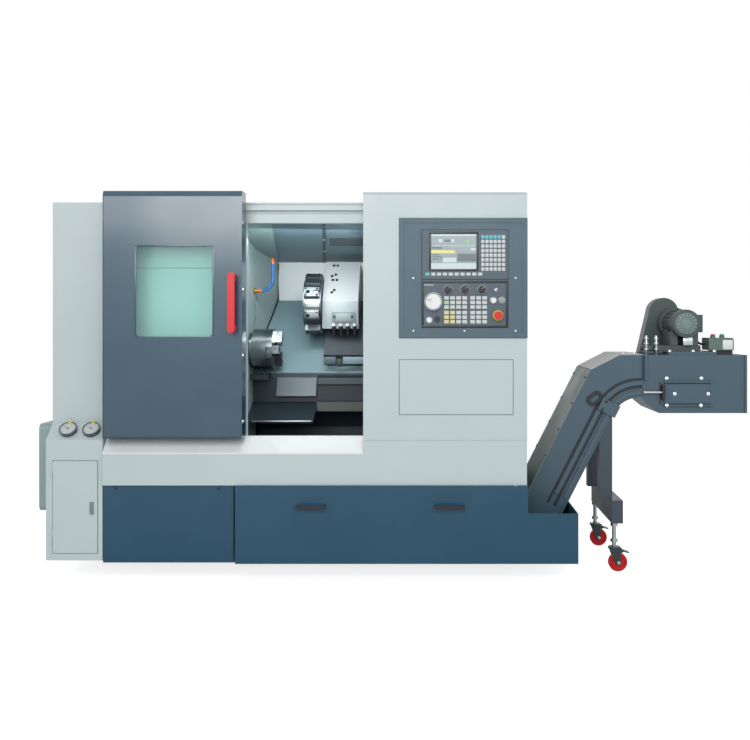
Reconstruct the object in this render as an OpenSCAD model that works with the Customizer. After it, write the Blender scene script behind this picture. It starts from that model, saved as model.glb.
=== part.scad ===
// Slant-bed turning machine in a sheet-metal enclosure, with a side chip conveyor.
// Frame: X along the spindle to the right, Y from the front to the back, Z up from the floor.

/* [Enclosure] */
// Length of the base skirt along the spindle
base_l = 2000; // [1900:10:2200]
// Depth from the control cabinet's front to the rear cover
depth = 1440; // [1400:10:1700]
// Height of the skirt above the floor
foot_h = 100; // [60:5:120]
// Height of the top of the dark skirt
skirt_top = 466; // [440:2:490]
// Height of the ledge that the door runs on
sill_z = 690; // [670:2:700]
// Height of the roof sheet
roof_z = 1810; // [1790:5:1850]
// Height of the control cabinet and the door
cabinet_top = 1850; // [1840:5:1900]
// Overhang of the left cover past the skirt
left_over = 270; // [220:5:320]
// Thickness of the enclosure sheet
sheet_t = 3; // [2:0.5:4]

/* [Door] */
// Width of the sliding door
door_w = 652; // [640:2:670]
// Depth of the door's folded edge
door_d = 90; // [70:2:96]
// Width of the door window
window_w = 372; // [300:2:400]
// Height of the door window
window_h = 435; // [360:5:480]
// Length of the red door handle
handle_l = 280; // [220:5:320]

/* [Work area] */
// Height of the spindle axis above the floor
spindle_z = 1093; // [1080:1:1110]
// Distance of the spindle axis behind the cabinet front
spindle_y = 480; // [470:1:490]
// Diameter of the chuck
chuck_d = 210; // [160:2:220]
// Diameter over the tool blocks of the turret
turret_d = 336; // [300:2:342]
// Thickness of the turret disc
turret_t = 96; // [80:2:110]
// Number of tool stations
stations = 8; // [6:1:12]

/* [Controls] */
// Width of the control panel plate
panel_w = 603; // [570:1:604]
// Height of the control panel plate
panel_h = 564; // [560:2:600]
// Diameter of the hand pulse wheel
handwheel_d = 84; // [70:2:88]
// Diameter of the emergency stop cap
estop_d = 40; // [30:1:44]
// Diameter of a selector knob
knob_d = 34; // [24:1:40]

/* [Chip conveyor] */
// Width of the conveyor casing
conveyor_w = 392; // [320:2:400]
// Slope of the incline from the floor
incline_deg = 63; // [60:0.5:65]
// Height of the casing measured square to the belt
casing_h = 200; // [180:1:210]
// Height of the discharge head's top
head_top = 1070; // [1060:2:1100]
// Diameter of a caster wheel
wheel_d = 92; // [84:2:104]
// Diameter of the conveyor motor
motor_d = 140; // [120:2:150]

/* [Hidden] */
$fn = 64;

// Clearances shared by the pieces that slide and turn
slide_gap = 0.3;
fit_gap = 0.05;

// Enclosure planes
left_x = -left_over;
cover_y = 80;
rear_y = depth;
sill_front = -12;
apron_top = 612;
cabinet_share = 0.387;
cab_x1 = base_l + 2;
cab_x0 = cab_x1 - base_l * cabinet_share;
cab_d = 250;
cab_z0 = 676;
tank_x0 = base_l * 0.314;
tank_front = -25;
tank_rear = 660;
tank_reach = 240;
tank_x1 = base_l + tank_reach;
tank_low = 336;
tank_t = 4;

// Door
door_x0 = 12;
door_x1 = door_x0 + door_w;
door_back = 50;
door_y = door_back - door_d;
door_z0 = sill_z + slide_gap;
jamb_x = base_l * 0.334;
handle_reach = 55;
window_z = door_z0 + (cabinet_top - door_z0) * 0.593;
window_x = (door_x0 + door_x1) / 2 + 9;
rail_z = roof_z - 40;
rail_h = 20;
rail_y = 60;

// Slanted bed: the cover plane is the line z = y + slant_c
slant_c = 427;
slant_front = 540;
slant_back = 930;
wall_x = base_l * 0.3025;
bed_x1 = base_l - 20;
carriage_x = wall_x + 375;
carriage_l = 320;
saddle_gap = 20;
saddle_t = 55;
turret_y = 650;
turret_z = 1332;
turret_x = wall_x + 265;

// Control panel, placed from the cabinet's right edge and the panel's top
panel_t = 8;
panel_x1 = cab_x1;
panel_x0 = panel_x1 - panel_w;
panel_z1 = cabinet_top - 125;
panel_z0 = panel_z1 - panel_h;
unit_t = 6;
unit_y = -panel_t - unit_t;

// Conveyor: front plate plane and the pivot where the incline turns into the head
conv_y0 = 250;
conv_y1 = conv_y0 + conveyor_w;
bend_x = base_l + 458;
bend_z = 776;
bend_r = 150;
head_x0 = base_l + 605;
head_x1 = base_l + 1125;
head_low = 780;
trough_z0 = foot_h + tank_t;
trough_x0 = wall_x + 95;
knee_x = base_l + 493;

// Casters
caster_x = base_l + 457;
caster_y = [222, 740];
beam_z0 = 240;
beam_z1 = 353;
trail = 18;
fork_top = 122;

// Where the whole machine is centred
side_box_w = 160;
x_min = left_x - side_box_w;
mid_x = (x_min + head_x1) / 2;
mid_y = (door_y - handle_reach + rear_y) / 2;

// Colours
pale = "#C5D3D2";
slate = "#43566A";
navy = "#2F4B60";
steel = "#AEB4B8";
dark = "#3A4650";
black = "#17191B";

// Box between two corners
module span(a, b) translate(a) cube(b - a);

// Outline drawn in Y and Z, run along X
module along_x(x0, x1, outline)
  translate([x0, 0, 0]) rotate([90, 0, 90]) linear_extrude(x1 - x0) polygon(outline);

// Outline drawn in X and Z, run along Y
module along_y(y0, y1, outline)
  translate([0, y1, 0]) rotate([90, 0, 0]) linear_extrude(y1 - y0) polygon(outline);

// Rod along X, Y or toward the front
module rod_x(x0, x1, y, z, r) translate([x0, y, z]) rotate([0, 90, 0]) cylinder(h = x1 - x0, r = r);
module rod_y(y0, y1, x, z, r) translate([x, y0, z]) rotate([-90, 0, 0]) cylinder(h = y1 - y0, r = r);

// Rectangle with round corners about its centre
module round_rect(w, h, r) {
  square([w - 2 * r, h], center = true);
  square([w, h - 2 * r], center = true);
  for (sx = [-1, 1], sz = [-1, 1]) translate([sx * (w / 2 - r), sz * (h / 2 - r)]) circle(r);
}

// Rounded plate facing the front, between two Y planes
module face_plate(x, z, w, h, r, y0, y1)
  translate([x, y1, z]) rotate([90, 0, 0]) linear_extrude(y1 - y0) round_rect(w, h, r);

// Height of the slant plane at a depth, lifted square to the plane
function slant_z(y, lift = 0) = y + slant_c + lift * sqrt(2);

// Bar that follows the slant between two depths, from one lift to another
function slant_bar(ya, yb, lo, hi) = let (k = sqrt(0.5)) [
  [ya - lo * k, ya + slant_c + lo * k], [yb - lo * k, yb + slant_c + lo * k],
  [yb - hi * k, yb + slant_c + hi * k], [ya - hi * k, ya + slant_c + hi * k]];

// Casting that carries the headstock and the slanted ways
way_w = 40;
cover_drop = sheet_t * sqrt(2);
bed_y0 = tank_rear + 40;
bed_y1 = depth - 40;
bed_shelf = 1150;
bed_lip = 820;
bed_throat = 660;
plinth_z = 600;
plinth_x0 = 20;
plinth_y0 = 30;
module bed_casting() color(dark) {
  along_x(wall_x, bed_x1, [[bed_y0, foot_h], [bed_y1, foot_h], [bed_y1, bed_shelf],
    [slant_back, bed_shelf], [slant_back, slant_z(slant_back) - cover_drop],
    [slant_front, slant_z(slant_front) - cover_drop], [slant_front, bed_lip], [bed_y0, bed_throat]]);
  span([plinth_x0, plinth_y0, foot_h], [tank_x0 - 8, bed_y0, plinth_z]);
  span([plinth_x0, bed_y0, foot_h], [wall_x, bed_y1, plinth_z]);
}

// Levelling screws on round pads, set back under the casting
foot_y = 430;
module leveling_feet() color(steel)
  for (x = [100, base_l * 0.28, base_l * 0.65, base_l - 50], y = [foot_y, depth - 100]) translate([x, y, 0]) {
    cylinder(h = 18, r = 55);
    cylinder(h = foot_h, r = 16);
    translate([0, 0, foot_h - 22]) cylinder(h = 22, r = 30, $fn = 6);
  }

module base_left_panel() color(navy) {
  span([0, 0, foot_h], [tank_x0 - 12, sheet_t, skirt_top]);
  span([0, sheet_t, foot_h], [sheet_t, rear_y - sheet_t, skirt_top]);
  span([sheet_t, sheet_t, skirt_top - 2 * sheet_t], [tank_x0 - 12, plinth_y0, skirt_top]);
}

// Open tank that pulls out to the front and takes the conveyor
module coolant_tank() color(navy) difference() {
  span([tank_x0, tank_front, foot_h], [tank_x1, tank_rear, skirt_top]);
  span([tank_x0 + tank_t, tank_front + tank_t, foot_h + tank_t],
    [tank_x1 - tank_t, tank_rear - tank_t, skirt_top + 1]);
  span([base_l + 4, tank_front - 1, tank_low], [tank_x1 + 1, tank_rear + 1, skirt_top + 1]);
  for (x = handle_xs) face_plate(x, handle_z, tank_grip_w - 34, 26, 8, tank_front - 1, tank_front + 1);
}

// Bar pulls on the tank front
tank_grip_w = 144;
handle_z = 371;
handle_xs = [tank_x0 + 356, base_l - 366];
module tank_handles() color(black) for (x = handle_xs) {
  face_plate(x, handle_z, tank_grip_w, 14, 6, tank_front - 36, tank_front - 22);
  for (side = [-1, 1]) rod_y(tank_front - 22, tank_front, x + side * (tank_grip_w / 2 - 9), handle_z, 6);
}

module front_apron() color(pale) {
  along_y(sill_front, sill_front + sheet_t, [[0, skirt_top], [base_l, skirt_top],
    [base_l, cab_z0], [cab_x0, cab_z0], [cab_x0, apron_top], [0, apron_top]]);
  span([0, sill_front + sheet_t, skirt_top], [base_l, plinth_y0, skirt_top + sheet_t]);
  span([cab_x0, sill_front + sheet_t, cab_z0 - sheet_t], [base_l, plinth_y0, cab_z0]);
}

// Stainless ledge below the door, with a sloped front
module door_sill() color("#D5DBDC") along_x(0, cab_x0, [[sill_front, apron_top],
  [sill_front, apron_top + 8], [cover_y - 24, sill_z], [cover_y + sheet_t, sill_z],
  [cover_y + sheet_t, sill_z - sheet_t], [cover_y - 22, sill_z - sheet_t],
  [sill_front + sheet_t, apron_top + 6], [sill_front + sheet_t, apron_top]]);

// Folded sheet: the fixed front behind the door, with the left end
module left_cover() color(pale) {
  along_y(cover_y, cover_y + sheet_t, [[left_x, foot_h + 10], [-sheet_t, foot_h + 10],
    [-sheet_t, sill_z], [jamb_x, sill_z], [jamb_x, roof_z], [left_x, roof_z]]);
  span([left_x, cover_y + sheet_t, foot_h + 10], [left_x + sheet_t, rear_y, roof_z]);
}

// Roof sheet folded down into the back
module rear_cover() color(pale) {
  lx = left_x + sheet_t;
  rx = cab_x1 - sheet_t;
  translate([0, 0, roof_z - sheet_t]) linear_extrude(sheet_t) polygon([[lx, cover_y + sheet_t],
    [cab_x0, cover_y + sheet_t], [cab_x0, cab_d], [rx, cab_d], [rx, rear_y], [lx, rear_y]]);
  span([lx, rear_y - sheet_t, foot_h + 10], [rx, rear_y, roof_z - sheet_t]);
}

// Beam over the opening, grooved along the front, with the door's hanging rail
header_z0 = roof_z - 99;
header_d = 40;
module header_beam() color(pale) {
  difference() {
    span([jamb_x, cover_y, header_z0], [cab_x0, cover_y + header_d, roof_z - sheet_t]);
    for (z = [header_z0 + 41, roof_z - 14])
      span([jamb_x - 1, cover_y - 1, z], [cab_x0 + 1, cover_y + sheet_t, z + 5]);
  }
  span([0, rail_y, rail_z], [cab_x0, cover_y, rail_z + rail_h]);
}

// Splash wall on the headstock side, folded towards the back, bored for the spindle nose
fold_y = 620;
fold_x = wall_x + 67;
splash_h = 218;
splash_top = slant_z(slant_back) + splash_h;
module headstock_wall() color("#A9B9B4") difference() {
  translate([0, 0, apron_top]) linear_extrude(header_z0 - apron_top) polygon([
    [wall_x - sheet_t, cover_y + sheet_t], [wall_x, cover_y + sheet_t], [wall_x, fold_y],
    [fold_x, slant_back], [fold_x - sheet_t, slant_back], [wall_x - sheet_t, fold_y]]);
  rod_x(wall_x - 10, wall_x + 10, spindle_y, spindle_z, chuck_d / 2 - 20);
  along_x(wall_x - 10, fold_x + 1, [[fold_y, 0], [slant_back + 1, 0],
    [slant_back + 1, slant_z(slant_back + 1)], [fold_y, slant_z(fold_y)]]);
  along_x(wall_x - 10, fold_x + 1, [[cover_y + header_d, header_z0], [slant_back, splash_top],
    [slant_back + 1, splash_top], [slant_back + 1, header_z0 + 1], [cover_y + header_d, header_z0 + 1]]);
}

// Sloped ceiling of the work area
function roof_at(y) = header_z0 + (splash_top - header_z0) * (y - cover_y - header_d)
  / (slant_back - cover_y - header_d);
module roof_run(x0, x1, y0) along_x(x0, x1, [[y0, roof_at(y0)], [slant_back, splash_top],
  [slant_back, splash_top + sheet_t], [y0, roof_at(y0) + sheet_t]]);
module inner_roof() color("#5B6970") {
  roof_run(wall_x, cab_x0, cover_y + header_d);
  roof_run(cab_x0, cab_x1 - sheet_t, cab_d);
}

// White rear wall of the work area
module back_splash() color("#DDE2E1")
  span([fold_x - sheet_t, slant_back, slant_z(slant_back) - 3 * sheet_t],
    [cab_x1 - sheet_t, slant_back + sheet_t, splash_top + sheet_t]);

// Way cover lying on the slanted bed
module slant_cover() color("#7F929B")
  along_x(wall_x, bed_x1, [[slant_front, slant_z(slant_front) - cover_drop],
    [slant_back, slant_z(slant_back) - cover_drop], [slant_back, slant_z(slant_back)],
    [slant_front, slant_z(slant_front)]]);

// Folded guards at the bed's front edge: kick plate, chip slide, ledge and stepped slide covers
guard_t = 6;
guard_y = slant_front - guard_t;
guard_z0 = 780;
guard_z1 = 940;
steps_x0 = wall_x + 344;
step_out = [0, 34, 34, 10, 10, 56, 56, 0];
step_z = [956, 940, 905, 900, 820, 815, 765, 760];
slide_y = 330;
slide_z = 722;
slide_lip = 8;
module chip_guard() color("#323C44") {
  span([wall_x, guard_y, guard_z0], [bed_x1, slant_front, guard_z1]);
  along_x(steps_x0, bed_x1, [for (i = [0:7]) [slant_front - step_out[i] - 1, step_z[i]]]);
  span([steps_x0, guard_y, step_z[7]], [bed_x1, slant_front, step_z[0]]);
  along_x(wall_x + 128, steps_x0 - 6, [[guard_y, guard_z1], [guard_y - 30, guard_z1 - 96],
    [guard_y - 26, guard_z1 - 100], [guard_y, guard_z1 - 40]]);
  along_x(wall_x, steps_x0, [[guard_y, guard_z0 + 24], [slide_y, slide_z], [slide_y - guard_t, slide_z],
    [slide_y - guard_t, slide_z + slide_lip], [slide_y, slide_z + slide_lip], [guard_y, guard_z0 + 32]]);
  span([wall_x, guard_y - 94, guard_z1 - 6], [wall_x + 95, guard_y, guard_z1 + 22]);
}

// Spindle housing with its bearing bore
spindle_r = 60;
head_end = 100;
head_r = 150;
module headstock() color(dark) difference() {
  union() {
    span([head_end, spindle_y - head_r, plinth_z], [wall_x - 15, spindle_y + head_r + 30, spindle_z]);
    rod_x(head_end, wall_x - 15, spindle_y, spindle_z, head_r);
  }
  rod_x(head_end - 1, wall_x, spindle_y, spindle_z, spindle_r + fit_gap);
}

// Cabinet for the hydraulic gauges, with a sloped top
gauge_slope_h = 71;
gauge_top = 679;
module gauge_cabinet() color(pale) {
  gauge_shell();
  for (z = hinge_zs) translate([0, 0, z - hinge_l - slide_gap]) {
    translate([hinge_x, hinge_y, 0]) cylinder(h = hinge_l, r = hinge_r);
    span([hinge_x - hinge_r, hinge_y, 0], [hinge_x, 0, hinge_l]);
  }
}
module gauge_shell() difference() {
  along_x(left_x, -sheet_t, [[0, foot_h + 10], [cover_y, foot_h + 10],
    [cover_y, gauge_top + gauge_slope_h], [0, gauge_top]]);
  along_x(left_x + sheet_t, -2 * sheet_t, [[sheet_t, foot_h + 13], [cover_y + 1, foot_h + 13],
    [cover_y + 1, gauge_top + gauge_slope_h - sheet_t], [sheet_t, gauge_top - sheet_t]]);
  span([gauge_door_x0 + 8, -1, gauge_door_z0 + 8], [gauge_door_x1 - 8, sheet_t + 1, gauge_door_z1 - 8]);
}

// Dial gauges square to the slope
gauge_r = 41;
gauge_xs = [-176, -66];
gauge_tilt = atan2(gauge_slope_h, cover_y);
module pressure_gauges() color(steel) for (x = gauge_xs)
  translate([x, cover_y / 2, gauge_top + gauge_slope_h / 2]) rotate([gauge_tilt, 0, 0]) difference() {
    union() {
      cylinder(h = 22, r = gauge_r - 3);
      translate([0, 0, 14]) cylinder(h = 10, r = gauge_r);
    }
    translate([0, 0, 21]) cylinder(h = 4, r = gauge_r - 5);
  }

// Hinged door of the gauge cabinet with a flush latch
gauge_door_x0 = -236;
gauge_door_x1 = -26;
gauge_door_z0 = 145;
gauge_door_z1 = 580;
latch_z = 357;
hinge_r = 4;
hinge_x = gauge_door_x0 - hinge_r - 1;
hinge_y = -hinge_r - 0.5;
hinge_l = 34;
hinge_zs = [gauge_door_z0 + 80, gauge_door_z1 - 46];
module gauge_door() color(pale) difference() {
  union() {
    for (z = hinge_zs) {
      translate([hinge_x, hinge_y, z]) cylinder(h = hinge_l, r = hinge_r);
      span([hinge_x, -sheet_t - slide_gap, z], [gauge_door_x0, -slide_gap, z + hinge_l]);
    }
    span([gauge_door_x0, -sheet_t - slide_gap, gauge_door_z0],
      [gauge_door_x1, -slide_gap, gauge_door_z1]);
    face_plate(gauge_door_x1 - 26, latch_z, 20, 61, 4, -sheet_t - slide_gap - 2, -sheet_t - slide_gap);
  }
  face_plate(gauge_door_x1 - 26, latch_z, 12, 48, 3, -sheet_t - slide_gap - 3, -sheet_t - slide_gap);
}

// Rounded box on the left end
side_box_z = 500;
side_box_h = 440;
side_box_y = 300;
side_box_d = 420;
module side_box() color("#A4B3B0") translate([x_min, side_box_y + side_box_d / 2, side_box_z])
  rotate([90, 0, 90]) linear_extrude(side_box_w) round_rect(side_box_d, side_box_h, 28);

// Cabinet at the right front, with the right end sheet of the enclosure
cab_bevel = 14;
module control_cabinet() color(pale) {
  difference() {
    along_x(cab_x0, cab_x1, [[0, cab_z0], [cab_d, cab_z0], [cab_d, cabinet_top],
      [cab_bevel, cabinet_top], [0, cabinet_top - cab_bevel]]);
    along_x(cab_x0 + sheet_t, cab_x1 - sheet_t, [[sheet_t, cab_z0 + sheet_t],
      [cab_d - sheet_t, cab_z0 + sheet_t], [cab_d - sheet_t, cabinet_top - sheet_t],
      [cab_bevel + 1, cabinet_top - sheet_t], [sheet_t, cabinet_top - cab_bevel - 1]]);
  }
  span([cab_x1 - sheet_t, cab_d, skirt_top], [cab_x1, rear_y, roof_z]);
}

// Plain cover plate under the control panel
hatch_w = 534;
hatch_h = (panel_z0 - cab_z0) * 0.528;
hatch_x = cab_x1 - 335;
hatch_z = (panel_z0 + cab_z0) / 2 + 9.5;
module service_hatch() color(pale)
  face_plate(hatch_x, hatch_z, hatch_w, hatch_h, 3, -sheet_t, 0);

// Flush face of the controls, with stepped frame
module control_panel() color("#64768A") difference() {
  span([panel_x0, -panel_t, panel_z0], [panel_x1, 0, panel_z1]);
  span([panel_x0 + 22, -panel_t - 1, panel_z0 + 22], [panel_x1 - 22, -panel_t + 2, panel_z1 - 22]);
}

// Screen unit and operator board on the panel
unit_x = panel_x1 - 294;
unit_w = 403;
screen_z = panel_z1 - 172;
screen_h = 230;
board_z = panel_z1 - 405;
board_h = 217;
board_face = -panel_t - unit_t + 2;
module display_unit() color(black) {
  difference() {
    face_plate(unit_x, screen_z, unit_w, screen_h, 6, unit_y, -panel_t + 2);
    face_plate(unit_x - 53, screen_z + 14, 214, 165, 3, unit_y - 1, unit_y + 2);
  }
  difference() {
    face_plate(unit_x, board_z, unit_w, board_h, 4, board_face, -panel_t + 2);
    for (p = button_at) rod_y(board_face - 1, 0, p[0], p[1], button_r + slide_gap);
    rod_y(board_face - 1, 0, estop_at[0], estop_at[1], estop_d / 3 + slide_gap);
  }
}

// Places of the press controls on the board: start, stop, power
button_at = [[unit_x + 134, board_z + 17], [unit_x + 174, board_z + 17], [unit_x - 168, board_z - 76]];
button_r = 12;
button_out = 14;
button_in = 2.5;
estop_at = [unit_x + 155.5, board_z - 54];

// Membrane keys: the key block and soft keys by the screen, and the operator board's blocks
module key_block(x0, z0, cols, rows, px, pz, w, h, y)
  for (c = [0:cols - 1], r = [0:rows - 1])
    face_plate(x0 + c * px, z0 - r * pz, w, h, 2, y - 2, y);
module panel_keys() color("#C9D2D2") {
  key_block(unit_x + 84, screen_z + 83, 6, 8, 19.4, 21.6, 15, 16, unit_y);
  key_block(unit_x - 177, screen_z - 92, 10, 1, 27.6, 1, 20, 14, unit_y);
  for (z = [board_z + 29, board_z - 40]) {
    key_block(unit_x - 87, z, 4, 3, 28.6, 21.5, 22, 16, board_face);
    key_block(unit_x + 36, z, 3, 3, 28.3, 21.5, 22, 16, board_face);
  }
}

// Brass valve on the splash wall with a bent coolant pipe that rises to its nozzle
hose_y = 560;
hose_z = 1400;
hose_r = 9;
hose_bend = 60;
hose_rise = 90;
module coolant_hose() color("#2E74C9") {
  bend_at = wall_x + 40;
  rod_x(wall_x, wall_x + 22, hose_y, hose_z, 14);
  rod_x(wall_x + 22, bend_at, hose_y, hose_z, hose_r);
  translate([bend_at, hose_y, hose_z + hose_bend]) rotate([90, 0, 0]) rotate([0, 0, -90])
    rotate_extrude(angle = 90) translate([hose_bend, 0]) circle(hose_r);
  translate([bend_at + hose_bend, hose_y, hose_z + hose_bend]) cylinder(h = hose_rise, r = hose_r);
  translate([bend_at + hose_bend, hose_y, hose_z + hose_bend + hose_rise])
    cylinder(h = 26, r1 = hose_r + 2, r2 = 5);
}

// Path of the casing's lower edge, lifted square to the belt: incline, bend, head
function path_up(d, from_z) = let (n = [-sin(incline_deg), cos(incline_deg)],
    start = [bend_x - (bend_z - from_z) / tan(incline_deg), from_z],
    hub = [bend_x + bend_r * sin(incline_deg), bend_z - bend_r * cos(incline_deg)])
  concat([start + d * n], [for (i = [0:12]) let (a = 90 + incline_deg - i * incline_deg / 12)
    hub + (bend_r + d) * [cos(a), sin(a)]]);
hub_x = bend_x + bend_r * sin(incline_deg);
reverse_of = function (p) [for (i = [len(p) - 1:-1:0]) p[i]];

// Upper edge of the incline at a height
function top_x(z) = bend_x - casing_h / sin(incline_deg) - (bend_z - z) / tan(incline_deg);
knee_z = 995;
trough_top = trough_z0 + casing_h;
module casing_side(y0, y1) along_y(y0, y1, concat(
  [[trough_x0, trough_z0], [bend_x - (bend_z - trough_z0) / tan(incline_deg), trough_z0]],
  [for (p = path_up(0, 300)) if (p[1] > 300) p],
  [[hub_x + 96, head_low], [head_x1, head_low], [head_x1, head_top], [knee_x, head_top],
   [top_x(knee_z), knee_z], [top_x(trough_top), trough_top], [trough_x0, trough_top]]));

// Strip between two lifts along the side plate, from the skirt round into the head
module casing_rail(lo, hi) along_y(conv_y0 - 9, conv_y0, concat(
  path_up(lo, 345), [[head_x0, bend_z + bend_r * (1 - cos(incline_deg)) + lo]],
  [[head_x0, bend_z + bend_r * (1 - cos(incline_deg)) + hi]], reverse_of(path_up(hi, 345))));

chute_x0 = head_x0 + 255;
flange_w = 22;
bracket_at = [bend_x - 24, bend_z + 32];
eye_at = [bend_x - 92, bend_z + 78];
chute_t = 6;
module conveyor_casing() color("#505F6B") {
  difference() {
    casing_side(conv_y0, conv_y1);
    span([trough_x0 + chute_t, conv_y0 + chute_t, trough_z0 + chute_t],
      [top_x(trough_top) - 60, conv_y1 - chute_t, trough_top + 1]);
    span([chute_x0, conv_y0 + chute_t, head_low - 1],
      [head_x1 - chute_t, conv_y1 - chute_t, head_top - chute_t]);
  }
  casing_rail(14, 34);
  casing_rail(62, 84);
  span([head_x0, conv_y0 - 12, head_top - 126], [head_x0 + flange_w, conv_y0, head_top]);
  translate([bracket_at[0], conv_y0, bracket_at[1]]) rotate([90, -incline_deg, 0]) linear_extrude(20)
    square([64, 96], center = true);
  translate([eye_at[0], conv_y0, eye_at[1]]) rotate([90, 28 - incline_deg, 0]) linear_extrude(10)
    difference() {
      round_rect(84, 56, 24);
      round_rect(52, 26, 12);
    }
  span([head_x1 - 10, conv_y0 - 8, head_low], [head_x1, conv_y0, head_top]);
}

// Screwed cover plates over the incline, the knee and the head's neck
cover_t = 4;
module cover_strip(a, b) let (d = (b - a) / norm(b - a), n = cover_t * [-d[1], d[0]])
  along_y(conv_y0, conv_y1, [a, b, b + n, a + n]);
module conveyor_covers() color("#82918F") {
  knee = [top_x(knee_z), knee_z];
  cover_strip([top_x(345), 345], knee);
  top_edge = [knee_x, head_top];
  cover_strip(knee + 2 * (top_edge - knee) / norm(top_edge - knee), top_edge);
  span([knee_x + 2, conv_y0, head_top], [head_x0, conv_y1, head_top + cover_t]);
}

// Bearing take-up plate with its adjusting screw
takeup_x0 = head_x0 + 107;
takeup_x1 = takeup_x0 + 225;
takeup_z0 = head_low + 35;
takeup_z1 = head_low + 160;
screw_z = head_low + 105;
screw_y = conv_y0 - 18;
module takeup_plate() color("#4B5964") {
  span([takeup_x0, conv_y0 - 8, takeup_z0], [takeup_x1, conv_y0, takeup_z1]);
  for (z = [takeup_z0, takeup_z1 - 8])
    span([takeup_x0, conv_y0 - 14, z], [takeup_x1 + 14, conv_y0 - 8, z + 8]);
  span([takeup_x0 - 14, conv_y0 - 30, screw_z - 36], [takeup_x0, conv_y0, screw_z + 36]);
  rod_x(takeup_x0 - 100, takeup_x0 - 14, screw_y, screw_z, 6);
  rod_x(takeup_x0 - 106, takeup_x0 - 100, screw_y, screw_z, 10);
}

// Foot-mounted gear motor with a slotted slide base
motor_x = head_x0 + 229;
motor_z = head_top + 157;
motor_y = conv_y0 + 30;
motor_l = 250;
plate_h = 16;
foot_w = 36;
foot_at = [motor_y + 40, motor_y + 200];
rail_w = 30;
module gear_motor() color("#4A5A57") {
  span([head_x0 + 130, conv_y0 + 6, head_top], [head_x0 + 372, guard_y0, head_top + plate_h]);
  for (x = [motor_x - motor_d / 2, motor_x + motor_d / 2 - foot_w])
    span([x, foot_at[0], head_top + plate_h + rail_w], [x + foot_w, foot_at[1], motor_z - 40]);
  for (y = [foot_at[0] + 6, foot_at[1] - rail_w - 6])
    span([head_x0 + 76, y, head_top + plate_h],
      [motor_x + motor_d / 2 + 14, y + rail_w, head_top + plate_h + rail_w]);
  rod_y(motor_y + motor_l - 30, motor_y + motor_l, motor_x, motor_z, motor_d / 2 + 13);
  rod_y(motor_y, motor_y + 60, motor_x, motor_z, motor_d / 2);
  rod_y(motor_y + 60, motor_y + motor_l, motor_x, motor_z, motor_d / 2 - 5);
  for (a = [0:20:340]) translate([motor_x, motor_y + 64, motor_z]) rotate([0, a, 0])
    translate([-1.5, 0, motor_d / 2 - 8]) cube([3, motor_l - 80, 7]);
  rod_y(motor_y + motor_l, guard_y0, motor_x, motor_z, 50);
  span([motor_x + motor_d / 2 - 12, motor_y + 50, motor_z - 45],
    [motor_x + motor_d / 2 + 26, motor_y + 150, motor_z + 45]);
}

// Chain guard behind the motor: round top, sides that spread towards the head
guard_x = head_x0 + 182;
guard_r = 78;
guard_top = head_top + 293;
guard_foot = 130;
guard_y0 = conv_y1 - 98;
guard_y1 = conv_y1 - 14;
module chain_guard() color("#39444A") {
  rise = guard_top - guard_r - head_top;
  reach = norm([guard_foot, rise]);
  lean = atan2(rise, guard_foot) + asin(guard_r / reach);
  side = sqrt(reach * reach - guard_r * guard_r);
  shoulder = [guard_foot - side * cos(lean), head_top + side * sin(lean)];
  along_y(guard_y0, guard_y1, [[guard_x - guard_foot, head_top], [guard_x + guard_foot, head_top],
    [guard_x + shoulder[0], shoulder[1]], [guard_x - shoulder[0], shoulder[1]]]);
  rod_y(guard_y0, guard_y1, guard_x, guard_top - guard_r, guard_r);
}

// Switch box on its bracket
switch_x0 = head_x0 + 347;
switch_y = conv_y0 + 50;
switch_l = 126;
switch_d = 120;
switch_z0 = head_top + 22;
switch_z1 = switch_z0 + 62;
module switch_box() color("#6C7F78") {
  span([switch_x0 + 34, switch_y + 20, head_top], [switch_x0 + switch_l, switch_y + switch_d, switch_z0]);
  difference() {
    span([switch_x0, switch_y, switch_z0], [switch_x0 + switch_l, switch_y + switch_d, switch_z1]);
    span([switch_x0 - 1, switch_y - 1, switch_z1 - 6],
      [switch_x0 + switch_l + 1, switch_y + 10, switch_z1 + 1]);
  }
  for (x = [40, 86]) translate([switch_x0 + x, switch_y + 65, switch_z1]) cylinder(h = 12, r = 13);
}

// Lead from the motor's terminal box to the switch box
cable_r = 6;
cable_x = motor_x + motor_d / 2 + 7;
cable_z = head_top + 52;
cable_bend = 30;
cable_y = switch_y + 80;
module motor_cable() color(black) {
  translate([cable_x, cable_y, cable_z + cable_bend])
    cylinder(h = motor_z - 45 - cable_z - cable_bend, r = cable_r);
  translate([cable_x + cable_bend, cable_y, cable_z + cable_bend]) rotate([90, 0, 0]) rotate([0, 0, 180])
    rotate_extrude(angle = 90) translate([cable_bend, 0]) circle(cable_r);
  rod_x(cable_x + cable_bend, switch_x0, cable_y, cable_z, cable_r);
}

// Stand under the conveyor: beam across, two posts and the threaded caster stems
post_x0 = base_l + 390;
post_w = 65;
beam_x0 = base_l + 441;
beam_w = 56;
module conveyor_stand() color("#3F4C57") {
  span([beam_x0, caster_y[0] - 24, beam_z0], [beam_x0 + beam_w, caster_y[1] + 24, beam_z1]);
  difference() {
    for (y = [conv_y0 + 6, conv_y1 - 56]) span([post_x0, y, beam_z1], [post_x0 + post_w, y + 50, head_low]);
    casing_side(conv_y0 - 1, conv_y1 + 1);
  }
  for (y = caster_y) translate([caster_x, y, 0]) {
    translate([0, 0, fork_top + 0.4]) cylinder(h = beam_z0 - fork_top - 0.4, r = 10);
    for (z = [fork_top + 24, beam_z0 - 16]) translate([0, 0, z]) cylinder(h = 14, r = 18, $fn = 6);
  }
}

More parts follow.
